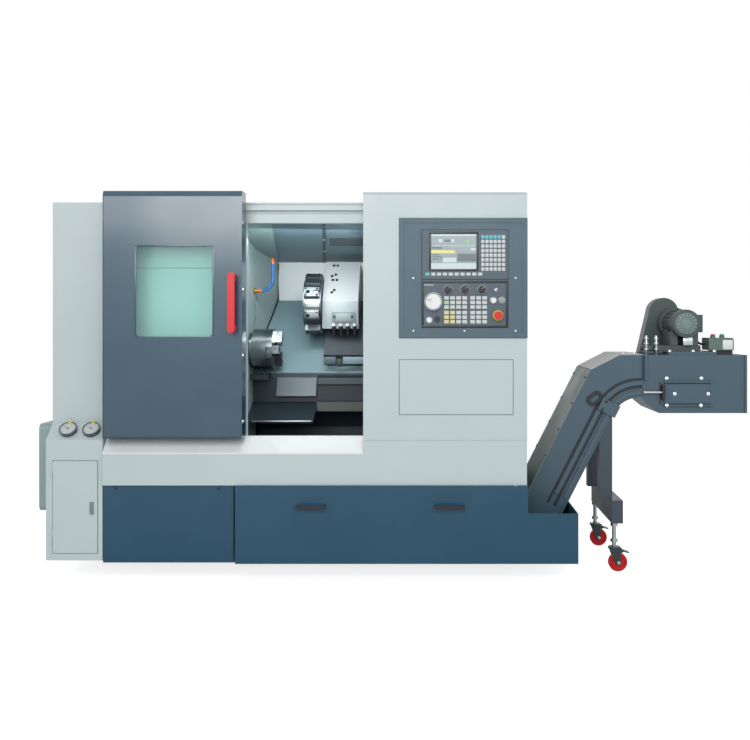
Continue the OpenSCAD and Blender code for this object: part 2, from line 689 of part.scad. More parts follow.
// Swivel fork, wheel and brake pedal of one caster
wheel_r = wheel_d / 2;
wheel_w = 32;
pin_x = 34;
pin_z = wheel_r + 58;
pin_r = 4;
module fork(y) color("#8A9698") translate([caster_x, y, 0]) difference() {
  union() {
    translate([0, 0, fork_top - 8]) cylinder(h = 8, r = 30);
    for (side = [-1, 1]) {
      along_y(side * 21 - 2, side * 21 + 2, [[-24, fork_top - 8], [28, fork_top - 8],
        [trail + 12, wheel_r - 12], [trail - 12, wheel_r - 12]]);
      rod_y(side * 21 - 2, side * 21 + 2, pin_x, pin_z, 9);
    }
    rod_y(-26, 26, trail, wheel_r, 6);
  }
  rod_y(-30, 30, pin_x, pin_z, pin_r + slide_gap);
}
module wheel(y) color("#D72329") translate([caster_x + trail, y, wheel_r]) rotate([90, 0, 0])
  translate([0, 0, -wheel_w / 2]) rotate_extrude() polygon([[6 + fit_gap, -1], [14, -1], [14, 4],
    [wheel_r - 14, 4], [wheel_r - 10, 0], [wheel_r - 4, 0], [wheel_r, 5], [wheel_r, wheel_w - 5],
    [wheel_r - 4, wheel_w], [wheel_r - 10, wheel_w], [wheel_r - 14, wheel_w - 4], [14, wheel_w - 4],
    [14, wheel_w + 1], [6 + fit_gap, wheel_w + 1]]);
module pedal(y) color("#9AA5A6") translate([caster_x, y, 0]) {
  along_y(-18, 18, [[pin_x - 3, pin_z - 3], [pin_x - 3, pin_z + 4], [pin_x + 38, pin_z - 8],
    [pin_x + 38, pin_z - 13]]);
  rod_y(-23, 23, pin_x, pin_z, pin_r);
}
module front_fork() fork(caster_y[0]);
module rear_fork() fork(caster_y[1]);
module front_wheel() wheel(caster_y[0]);
module rear_wheel() wheel(caster_y[1]);
module front_pedal() pedal(caster_y[0]);
module rear_pedal() pedal(caster_y[1]);

// Sliding door: folded front with a window opening and two hangers over the rail
bevel_h = 26;
bevel_d = 10;
module door_panel() color(slate) {
  difference() {
    along_x(door_x0, door_x1, [[door_y, door_z0], [door_back, door_z0], [door_back, cabinet_top],
      [door_y + bevel_d, cabinet_top], [door_y, cabinet_top - bevel_h]]);
    along_x(door_x0 + sheet_t, door_x1 - sheet_t, [[door_y + sheet_t, door_z0 + sheet_t],
      [door_back + 1, door_z0 + sheet_t], [door_back + 1, cabinet_top - sheet_t],
      [door_y + bevel_d + 2, cabinet_top - sheet_t], [door_y + sheet_t, cabinet_top - bevel_h - 1]]);
    face_plate(window_x, window_z, window_w, window_h, 14, door_y - 1, door_y + sheet_t + 1);
  }
  hook_z = rail_z + rail_h + slide_gap;
  for (x = [door_x0 + 60, door_x1 - 120]) {
    span([x, door_back - 6, min(hook_z, cabinet_top - 2 * sheet_t)],
      [x + 60, door_back, max(hook_z + 8, cabinet_top - sheet_t)]);
    span([x, door_back - 6, hook_z], [x + 60, cover_y - slide_gap, hook_z + 8]);
  }
}
glass_t = 6;
module door_window() color("#96C3BC")
  face_plate(window_x, window_z, window_w + 30, window_h + 30, 18, door_y + sheet_t,
    door_y + sheet_t + glass_t);

// Red pull with round ends on two feet
handle_x = door_x1 - 41;
handle_z0 = door_z0 + (cabinet_top - door_z0) * 0.4266;
module door_handle() color("#F2323C") {
  zc = handle_z0 + handle_l / 2;
  face_plate(handle_x, zc, 32, handle_l, 14, door_y - handle_reach, door_y - handle_reach + 18);
  for (side = [-1, 1]) face_plate(handle_x, zc + side * (handle_l / 2 - 22), 28, 40, 12,
    door_y - handle_reach + 18, door_y);
}

// Hollow spindle with its nose flange
bore_r = 26;
module spindle() color(steel) difference() {
  union() {
    rod_x(60, wall_x + 2, spindle_y, spindle_z, spindle_r);
    rod_x(wall_x + 2, chuck_x0, spindle_y, spindle_z, 80);
  }
  rod_x(59, chuck_x0 + 1, spindle_y, spindle_z, bore_r);
}

// Power chuck with three radial slots
chuck_x0 = wall_x + 20;
chuck_t = 105;
chuck_face = chuck_x0 + chuck_t;
slot_w = 26;
slot_depth = 30;
jaw_reach = 34;
jaw_start = 30;
module at_jaw(i) translate([0, spindle_y, spindle_z]) rotate([90 + i * 120, 0, 0]) children();
module chuck_body() color("#8F979B") difference() {
  rod_x(chuck_x0, chuck_face, spindle_y, spindle_z, chuck_d / 2);
  rod_x(chuck_x0 - 1, chuck_face + 1, spindle_y, spindle_z, bore_r + 2);
  for (i = [0:2]) at_jaw(i)
    translate([chuck_face - slot_depth, -slot_w / 2, bore_r - 6]) cube([slot_depth + 1, slot_w, chuck_d]);
}
module jaw(i) color("#C3C9CB") at_jaw(i) {
  foot_w = slot_w - 2 * slide_gap;
  translate([chuck_face - slot_depth + slide_gap, -foot_w / 2, jaw_start + 6])
    cube([slot_depth, foot_w, chuck_d / 2 - jaw_start - 18]);
  difference() {
    translate([chuck_face + slide_gap, -21, jaw_start]) cube([jaw_reach, 42, chuck_d / 2 - jaw_start - 10]);
    translate([chuck_face + 18, 0, chuck_d / 2 - 40]) cylinder(h = 40, r = 7);
  }
}
module jaw_1() jaw(0);
module jaw_2() jaw(1);
module jaw_3() jaw(2);

// Saddle over the ways
module carriage() color("#3B444A") {
  along_x(carriage_x, carriage_x + carriage_l,
    slant_bar(slant_front + 40, slant_back - 60, saddle_gap, saddle_gap + saddle_t));
  for (y = [slant_front + 40, slant_back - 60 - way_w])
    along_x(carriage_x, carriage_x + carriage_l, slant_bar(y, y + way_w, slide_gap, saddle_gap));
}

// Turret housing on its cross slide
saddle_top = saddle_gap + saddle_t + slide_gap;
housing_x0 = turret_x + turret_t + 4;
housing_l = 191;
housing_y0 = turret_y - 90;
housing_y1 = turret_y + 210;
housing_z0 = turret_z - 132;
housing_z1 = turret_z + 18;
housing_top = [turret_y + 90, turret_z + 234];
union_pitch = 37;
union_h = 34;
module turret_housing() color("#E3E7E7") {
  lift = saddle_top * sqrt(2);
  difference() {
    along_x(housing_x0, housing_x0 + housing_l, [[housing_y0, housing_z0], [housing_y0, housing_z1],
      housing_top, [housing_y1, housing_top[1] - 80], [housing_y1, slant_z(housing_y1) + lift],
      [housing_z0 - slant_c - lift, housing_z0]]);
    rod_x(housing_x0 - 1, housing_x0 + 41, turret_y, turret_z, 40 + fit_gap);
  }
  for (i = [0:3]) translate([housing_x0 + 62 + i * union_pitch, housing_y0 + 14, housing_z0 - union_h])
    cylinder(h = union_h, r = 8);
  along_y(housing_y0 - 12, housing_y0, [[housing_x0 + 50, housing_z0 + 32],
    [housing_x0 + 176, housing_z0 + 32],
    [housing_x0 + 166, housing_z0 + 90], [housing_x0 + 60, housing_z0 + 90]]);
}

// Turret disc with its tool blocks and hub
disc_r = turret_d / 2 - 34;
module turret_disc() color("#9AA3A6") translate([turret_x, turret_y, turret_z]) {
  difference() {
    rotate([0, 90, 0]) cylinder(h = turret_t, r = disc_r, $fn = 48);
    rotate([0, 90, 0]) translate([0, 0, -1]) cylinder(h = 13, r = 46);
  }
  rotate([0, 90, 0]) cylinder(h = turret_t + 40, r = 40);
  for (i = [0:stations - 1]) rotate([i * 360 / stations + 22.5, 0, 0]) difference() {
    translate([8, -26, disc_r - 16]) cube([turret_t - 16, 52, 46]);
    translate([30, 0, disc_r - 6]) cylinder(h = 60, r = 10);
    translate([62, -8, disc_r + 12]) cube([40, 16, 30]);
  }
}

// Controls that turn or press
module knob(x) color(black) difference() {
  rod_y(board_face - 22, board_face - slide_gap, x, knob_z, knob_d / 2);
  span([x - 2, board_face - 23, knob_z + 4], [x + 2, board_face - 20, knob_z + knob_d]);
}
knob_z = board_z + 68.5;
knob_pitch = 80;
module knob_1() knob(unit_x - knob_pitch);
module knob_2() knob(unit_x);
module knob_3() knob(unit_x + knob_pitch);
wheel_x = unit_x - 149;
hand_z = board_z + 12;
module handwheel() color("#E8ECEC") {
  rod_y(board_face - 24, board_face - slide_gap, wheel_x, hand_z, handwheel_d / 2);
  rod_y(board_face - 48, board_face - 24, wheel_x - 20, hand_z + 16, 7);
}
module push(i)
  rod_y(board_face - button_out, board_face + button_in, button_at[i][0], button_at[i][1], button_r);
module emergency_stop() color("#E0262C") {
  rod_y(board_face - 34, board_face - 16, estop_at[0], estop_at[1], estop_d / 2);
  rod_y(board_face - 16, board_face + 0.5, estop_at[0], estop_at[1], estop_d / 3);
}
module start_button() color("#EEF1F1") push(0);
module stop_button() color("#9AA4A6") push(1);
module power_button() color("#EEF1F1") push(2);
lock_x = unit_x - 130;
lock_z = board_z - 70;
module key_switch() color(black) {
  rod_y(board_face - 12, board_face - slide_gap, lock_x, lock_z, 13);
  span([lock_x - 2, board_face - 24, lock_z - 10], [lock_x + 2, board_face - 12, lock_z + 10]);
}

module place() translate([-mid_x, -mid_y, 0]) children();

place() bed_casting();
place() leveling_feet();
place() base_left_panel();
place() coolant_tank();
place() tank_handles();
place() front_apron();
place() door_sill();
place() left_cover();
place() rear_cover();
place() header_beam();
place() headstock_wall();
place() inner_roof();
place() back_splash();
place() slant_cover();
place() chip_guard();
place() headstock();
place() gauge_cabinet();
place() pressure_gauges();
place() side_box();
place() control_cabinet();
place() service_hatch();
place() control_panel();
place() display_unit();
place() panel_keys();
place() coolant_hose();
place() conveyor_casing();
place() conveyor_covers();
place() takeup_plate();
place() gear_motor();
place() chain_guard();
place() switch_box();
place() motor_cable();
place() conveyor_stand();
place() door_panel();
place() door_window();
place() door_handle();
place() gauge_door();
place() spindle();
place() chuck_body();
place() jaw_1();
place() jaw_2();
place() jaw_3();
place() carriage();
place() turret_housing();
place() turret_disc();
place() knob_1();
place() knob_2();
place() knob_3();
place() handwheel();
place() emergency_stop();
place() start_button();
place() stop_button();
place() power_button();
place() key_switch();
place() front_fork();
place() rear_fork();
place() front_wheel();
place() rear_wheel();
place() front_pedal();
place() rear_pedal();
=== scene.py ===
"""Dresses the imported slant-bed lathe: finishes, control face, fasteners and studio."""
import logging
import math
from dataclasses import dataclass
from enum import Enum
from typing import Callable, Iterable, Optional, Sequence, Union

import bmesh
import bpy
from mathutils import Matrix, Vector


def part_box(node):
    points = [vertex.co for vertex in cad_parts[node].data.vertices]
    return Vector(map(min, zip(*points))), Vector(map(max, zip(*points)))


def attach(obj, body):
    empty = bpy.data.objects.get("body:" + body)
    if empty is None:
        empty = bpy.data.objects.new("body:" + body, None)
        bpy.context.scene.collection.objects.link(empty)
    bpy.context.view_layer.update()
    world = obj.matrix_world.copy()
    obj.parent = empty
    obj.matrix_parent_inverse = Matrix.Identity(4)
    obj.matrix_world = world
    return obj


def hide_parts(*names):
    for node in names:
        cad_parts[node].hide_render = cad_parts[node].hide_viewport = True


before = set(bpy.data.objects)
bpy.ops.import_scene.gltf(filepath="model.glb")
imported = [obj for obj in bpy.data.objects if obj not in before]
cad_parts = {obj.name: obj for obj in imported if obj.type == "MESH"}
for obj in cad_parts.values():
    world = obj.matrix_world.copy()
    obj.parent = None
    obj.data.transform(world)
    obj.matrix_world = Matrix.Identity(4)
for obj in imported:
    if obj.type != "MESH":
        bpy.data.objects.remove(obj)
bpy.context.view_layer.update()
LOG = logging.getLogger("lathe")

Point = tuple[float, float, float]
Area = tuple[float, float, float, float]
Feed = dict[Union[int, str], object]

# The photograph's frame and the camera that it was read with
IMAGE_W, IMAGE_H = 750, 740
FOCAL_PX = 911.0
AXIS_PX = (429.0, 320.0)
EYE_MM = (1538.7, -4300.0, 1245.0)
SENSOR_MM = 36.0

# Directions in the part's frame
RIGHT, LEFT = Vector((1, 0, 0)), Vector((-1, 0, 0))
BACK, FRONT = Vector((0, 1, 0)), Vector((0, -1, 0))
UP, DOWN = Vector((0, 0, 1)), Vector((0, 0, -1))

SKIRT_LOW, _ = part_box("base_left_panel")
ORIGIN = Vector((SKIRT_LOW[0], SKIRT_LOW[1], 0.0))


def mm(x: float, y: float, z: float) -> Vector:
    """Point of the frame for a place given in millimetres from the skirt's left front corner.

    Args:
        x: Along the spindle.
        y: Towards the back.
        z: Up from the floor.

    Returns:
        The point in metres in the part's frame.
    """
    return ORIGIN + Vector((x, y, z)) / 1000.0


def rgba(code: str, scale: float = 1.0) -> tuple[float, float, float, float]:
    """Linear colour of a hex code.

    Args:
        code: Six hex digits, as seen on screen.
        scale: How much lighter or darker it gets.

    Returns:
        Red, green and blue in linear light, and an alpha of 1.
    """
    parts = [int(code[i:i + 2], 16) / 255 for i in (0, 2, 4)]
    linear = [p / 12.92 if p <= 0.04045 else ((p + 0.055) / 1.055) ** 2.4 for p in parts]
    red, green, blue = (min(1.0, scale * p) for p in linear)
    return red, green, blue, 1.0


def strips(area: Area, widths: Area) -> list[Area]:
    """Four strips that run round the inside of a rectangle.

    Args:
        area: Left, right, lower and upper edge of the rectangle.
        widths: Widths of the left, right, lower and upper strip.

    Returns:
        The upper, lower, left and right strip, each with its four edges.
    """
    x0, x1, z0, z1 = area
    left, right, low, high = widths
    return [(x0, x1, z1 - high, z1), (x0, x1, z0, z0 + low), (x0, x0 + left, z0 + low, z1 - high),
            (x1 - right, x1, z0 + low, z1 - high)]


@dataclass
class Graph:
    """Node tree with short calls for its nodes and links."""

    tree: bpy.types.NodeTree

    def feed(self, node: bpy.types.Node, values: Feed) -> None:
        """Fills inputs of a node.

        Args:
            node: The node.
            values: A socket to link or a value to hold, for each input by name or number.
        """
        for slot, value in values.items():
            if isinstance(value, bpy.types.NodeSocket):
                self.tree.links.new(value, node.inputs[slot])
            else:
                node.inputs[slot].default_value = value

    def add(self, kind: str, values: Optional[Feed] = None, **options: object) -> bpy.types.Node:
        """New shader node.

        Args:
            kind: Its type, without the word that all shader nodes start with.
            values: What its inputs get.
            options: Settings of the node.

        Returns:
            The node.
        """
        node = self.tree.nodes.new(f"ShaderNode{kind}")
        for name, value in options.items():
            setattr(node, name, value)
        self.feed(node, values or {})
        return node

    def math(self, operation: str, first: object, second: object) -> bpy.types.NodeSocket:
        """Result of a sum on two sockets or values."""
        return self.add("Math", {0: first, 1: second}, operation=operation).outputs["Value"]


class Effect(Enum):
    """Names of the shared shader groups."""

    GRAIN = "surface_grain"
    EDGE = "edge_wear"
    SMUDGE = "soft_smudge"
    DUST = "settled_dust"
    BRUSH = "brushed_lines"


class EffectLibrary:
    """Shader groups that several finishes share, built once."""

    def __init__(self) -> None:
        """Builds every group."""
        self.groups = {
            Effect.GRAIN: self._grain(),
            Effect.EDGE: self._edge(),
            Effect.SMUDGE: self._smudge(),
            Effect.DUST: self._dust(),
            Effect.BRUSH: self._brush(),
        }

    def place(self, graph: Graph, effect: Effect, values: Optional[Feed] = None) -> bpy.types.Node:
        """Puts one shared effect into a material.

        Args:
            graph: The material's nodes.
            effect: Which effect.
            values: What its inputs get.

        Returns:
            The group's node.
        """
        node = graph.add("Group", node_tree=self.groups[effect])
        graph.feed(node, values or {})
        return node

    @staticmethod
    def _open(effect: Effect, inputs: dict[str, float], outputs: Sequence[str]) -> tuple:
        """Empty group with float sockets.

        Args:
            effect: Which group this is.
            inputs: Socket names with their default values.
            outputs: Names of the values that it gives.

        Returns:
            Its graph, its inputs by name and the object coordinates inside it.
        """
        tree = bpy.data.node_groups.new(effect.value, "ShaderNodeTree")
        for name, value in inputs.items():
            sock = tree.interface.new_socket(name, in_out="INPUT", socket_type="NodeSocketFloat")
            sock.default_value = value
        for name in outputs:
            tree.interface.new_socket(name, in_out="OUTPUT", socket_type="NodeSocketFloat")
        graph = Graph(tree)
        return graph, tree.nodes.new("NodeGroupInput").outputs, graph.add("TexCoord").outputs["Object"]

    @staticmethod
    def _close(graph: Graph, results: Feed) -> bpy.types.NodeTree:
        """Leads the results to the group's outputs and returns the group."""
        graph.feed(graph.tree.nodes.new("NodeGroupOutput"), results)
        return graph.tree

    def _grain(self) -> bpy.types.NodeTree:
        """Fine orange-peel of sprayed paint.

        Returns:
            The group, which gives a height and a tone.
        """
        graph, given, spot = self._open(Effect.GRAIN, {"Scale": 900.0, "Tone Scale": 3.0}, ("Height", "Tone"))
        fine = graph.add("TexNoise", {"Vector": spot, "Scale": given["Scale"]})
        wide = graph.add("TexNoise", {"Vector": spot, "Scale": given["Tone Scale"], "Detail": 4.0})
        return self._close(graph, {"Height": fine.outputs["Fac"], "Tone": wide.outputs["Fac"]})

    def _edge(self) -> bpy.types.NodeTree:
        """Edges that are rubbed through.

        Returns:
            The group, which gives a mask that is 1 where an edge is worn.
        """
        graph, given, spot = self._open(Effect.EDGE, {"Radius": 0.002, "Break Up": 60.0}, ("Mask",))
        soft = graph.add("Bevel", {"Radius": given["Radius"]}, samples=4).outputs["Normal"]
        flat = graph.add("NewGeometry").outputs["Normal"]
        bend = graph.add("VectorMath", {0: soft, 1: flat}, operation="DOT_PRODUCT").outputs["Value"]
        worn = graph.add("MapRange", {"Value": bend, "From Min": 0.995, "From Max": 0.80})
        noise = graph.add("TexNoise", {"Vector": spot, "Scale": given["Break Up"]}).outputs["Fac"]
        gate = graph.add("MapRange", {"Value": noise, "From Min": 0.45, "From Max": 0.62})
        mask = graph.math("MULTIPLY", worn.outputs["Result"], gate.outputs["Result"])
        return self._close(graph, {"Mask": mask})

    def _smudge(self) -> bpy.types.NodeTree:
        """Slow change of gloss from wiping and handling.

        Returns:
            The group, which gives a roughness.
        """
        graph, given, spot = self._open(Effect.SMUDGE, {"Scale": 5.0, "Low": 0.3, "High": 0.5}, ("Value",))
        noise = graph.add("TexNoise", {"Vector": spot, "Scale": given["Scale"], "Detail": 6.0}).outputs["Fac"]
        gloss = graph.add("MapRange", {"Value": noise, "From Min": 0.3, "From Max": 0.7,
                                       "To Min": given["Low"], "To Max": given["High"]})
        return self._close(graph, {"Value": gloss.outputs["Result"]})

    def _dust(self) -> bpy.types.NodeTree:
        """Dust on faces that look up.

        Returns:
            The group, which gives a mask of the dust.
        """
        graph, given, spot = self._open(Effect.DUST, {"Scale": 40.0, "Amount": 0.3}, ("Mask",))
        facing = graph.add("SeparateXYZ", {"Vector": graph.add("NewGeometry").outputs["Normal"]}).outputs["Z"]
        level = graph.add("MapRange", {"Value": facing, "From Min": 0.3, "From Max": 1.0}).outputs["Result"]
        noise = graph.add("TexNoise", {"Vector": spot, "Scale": given["Scale"], "Detail": 5.0}).outputs["Fac"]
        settled = graph.math("MULTIPLY", level, noise)
        return self._close(graph, {"Mask": graph.math("MULTIPLY", settled, given["Amount"])})

    def _brush(self) -> bpy.types.NodeTree:
        """Long fine lines of a brushed or ground face.

        Returns:
            The group, which gives a height and a tone.
        """
        graph, given, spot = self._open(Effect.BRUSH, {"Across": 900.0, "Along": 12.0}, ("Height", "Tone"))
        parts = graph.add("SeparateXYZ", {"Vector": spot}).outputs
        scales = {"X": "Along", "Y": "Across", "Z": "Across"}
        drawn = {axis: graph.math("MULTIPLY", parts[axis], given[name]) for axis, name in scales.items()}
        joined = graph.add("CombineXYZ", drawn).outputs["Vector"]
        lines = graph.add("TexNoise", {"Vector": joined, "Scale": 1.0, "Detail": 3.0}).outputs["Fac"]
        return self._close(graph, {"Height": lines, "Tone": lines})


class Kind(Enum):
    """How a finish is shaded."""

    PAINT = "paint"
    METAL = "metal"
    PLASTIC = "plastic"
    RUBBER = "rubber"
    GLASS = "glass"
    GLOW = "glow"


# What the shader holds for a kind, the kinds whose edges wear, and the colour of dust
SHADING = {
    Kind.METAL: {"Metallic": 1.0},
    Kind.RUBBER: {"Specular IOR Level": 0.3},
    Kind.GLASS: {"Transmission Weight": 0.92, "IOR": 1.2},
}
WEARING = (Kind.PAINT, Kind.METAL, Kind.PLASTIC)
DUST_CODE = "B9BDBA"


@dataclass(frozen=True)
class Finish:
    """One surface finish of the machine."""

    name: str
    kind: Kind
    code: str
    rough: tuple[float, float] = (0.35, 0.5)
    wear_code: str = "9AA3A6"
    wear: float = 0.25
    dust: float = 0.12
    bump: float = 0.05
    edge_mm: float = 1.6
    tone: float = 0.06
    grain: float = 900.0
    coat: float = 0.0
    glow: float = 0.0

    def material(self, effects: EffectLibrary) -> bpy.types.Material:
        """Builds the node material.

        Args:
            effects: The shared shader groups.

        Returns:
            The new material.
        """
        mat = bpy.data.materials.new(f"finish_{self.name}")
        mat.use_nodes = True
        graph = Graph(mat.node_tree)
        shader = mat.node_tree.nodes["Principled BSDF"]
        low, high = self.rough
        gloss = effects.place(graph, Effect.SMUDGE, {"Low": low, "High": high})
        colour = self._colour(graph, effects)
        graph.feed(shader, {"Base Color": colour, "Roughness": gloss.outputs["Value"],
                            "Normal": self._relief(graph, effects), "Coat Weight": self.coat,
                            "Coat Roughness": 0.12})
        graph.feed(shader, SHADING.get(self.kind, {}))
        if self.kind is Kind.GLOW:
            graph.feed(shader, {"Emission Color": colour, "Emission Strength": self.glow})
        return mat

    @property
    def _texture(self) -> Effect:
        """Brushed lines on metal, grain on the rest."""
        return Effect.BRUSH if self.kind is Kind.METAL else Effect.GRAIN

    @staticmethod
    def _mix(graph: Graph, mask: bpy.types.NodeSocket, first: object, second: object) -> bpy.types.NodeSocket:
        """Mixes two colours, given as sockets or as linear colours.

        Args:
            graph: The material's nodes.
            mask: Leads from the first colour to the second.
            first: Colour at mask 0.
            second: Colour at mask 1.

        Returns:
            The mixed colour's socket.
        """
        return graph.add("Mix", {"Factor": mask, 6: first, 7: second}, data_type="RGBA").outputs[2]

    def _colour(self, graph: Graph, effects: EffectLibrary) -> bpy.types.NodeSocket:
        """Base colour with a slow change of tone, rubbed edges and pale dust.

        Args:
            graph: The material's nodes.
            effects: The shared shader groups.

        Returns:
            The colour's socket.
        """
        tone = effects.place(graph, self._texture).outputs["Tone"]
        colour = self._mix(graph, tone, rgba(self.code, 1 - self.tone), rgba(self.code, 1 + self.tone))
        if self.kind in WEARING:
            edge = effects.place(graph, Effect.EDGE, {"Radius": self.edge_mm / 1000.0})
            mask = graph.math("MULTIPLY", edge.outputs["Mask"], self.wear)
            colour = self._mix(graph, mask, colour, rgba(self.wear_code))
        if self.dust > 0:
            dust = effects.place(graph, Effect.DUST, {"Amount": self.dust})
            colour = self._mix(graph, dust.outputs["Mask"], colour, rgba(DUST_CODE))
        return colour

    def _relief(self, graph: Graph, effects: EffectLibrary) -> bpy.types.NodeSocket:
        """Fine relief, laid over softly rounded edges.

        Args:
            graph: The material's nodes.
            effects: The shared shader groups.

        Returns:
            The normal's socket.
        """
        scale = {} if self._texture is Effect.BRUSH else {"Scale": self.grain}
        height = effects.place(graph, self._texture, scale).outputs["Height"]
        soft = graph.add("Bevel", {"Radius": self.edge_mm / 1000.0}, samples=4).outputs["Normal"]
        bump = graph.add("Bump", {"Strength": self.bump, "Distance": 0.001, "Height": height, "Normal": soft})
        return bump.outputs["Normal"]


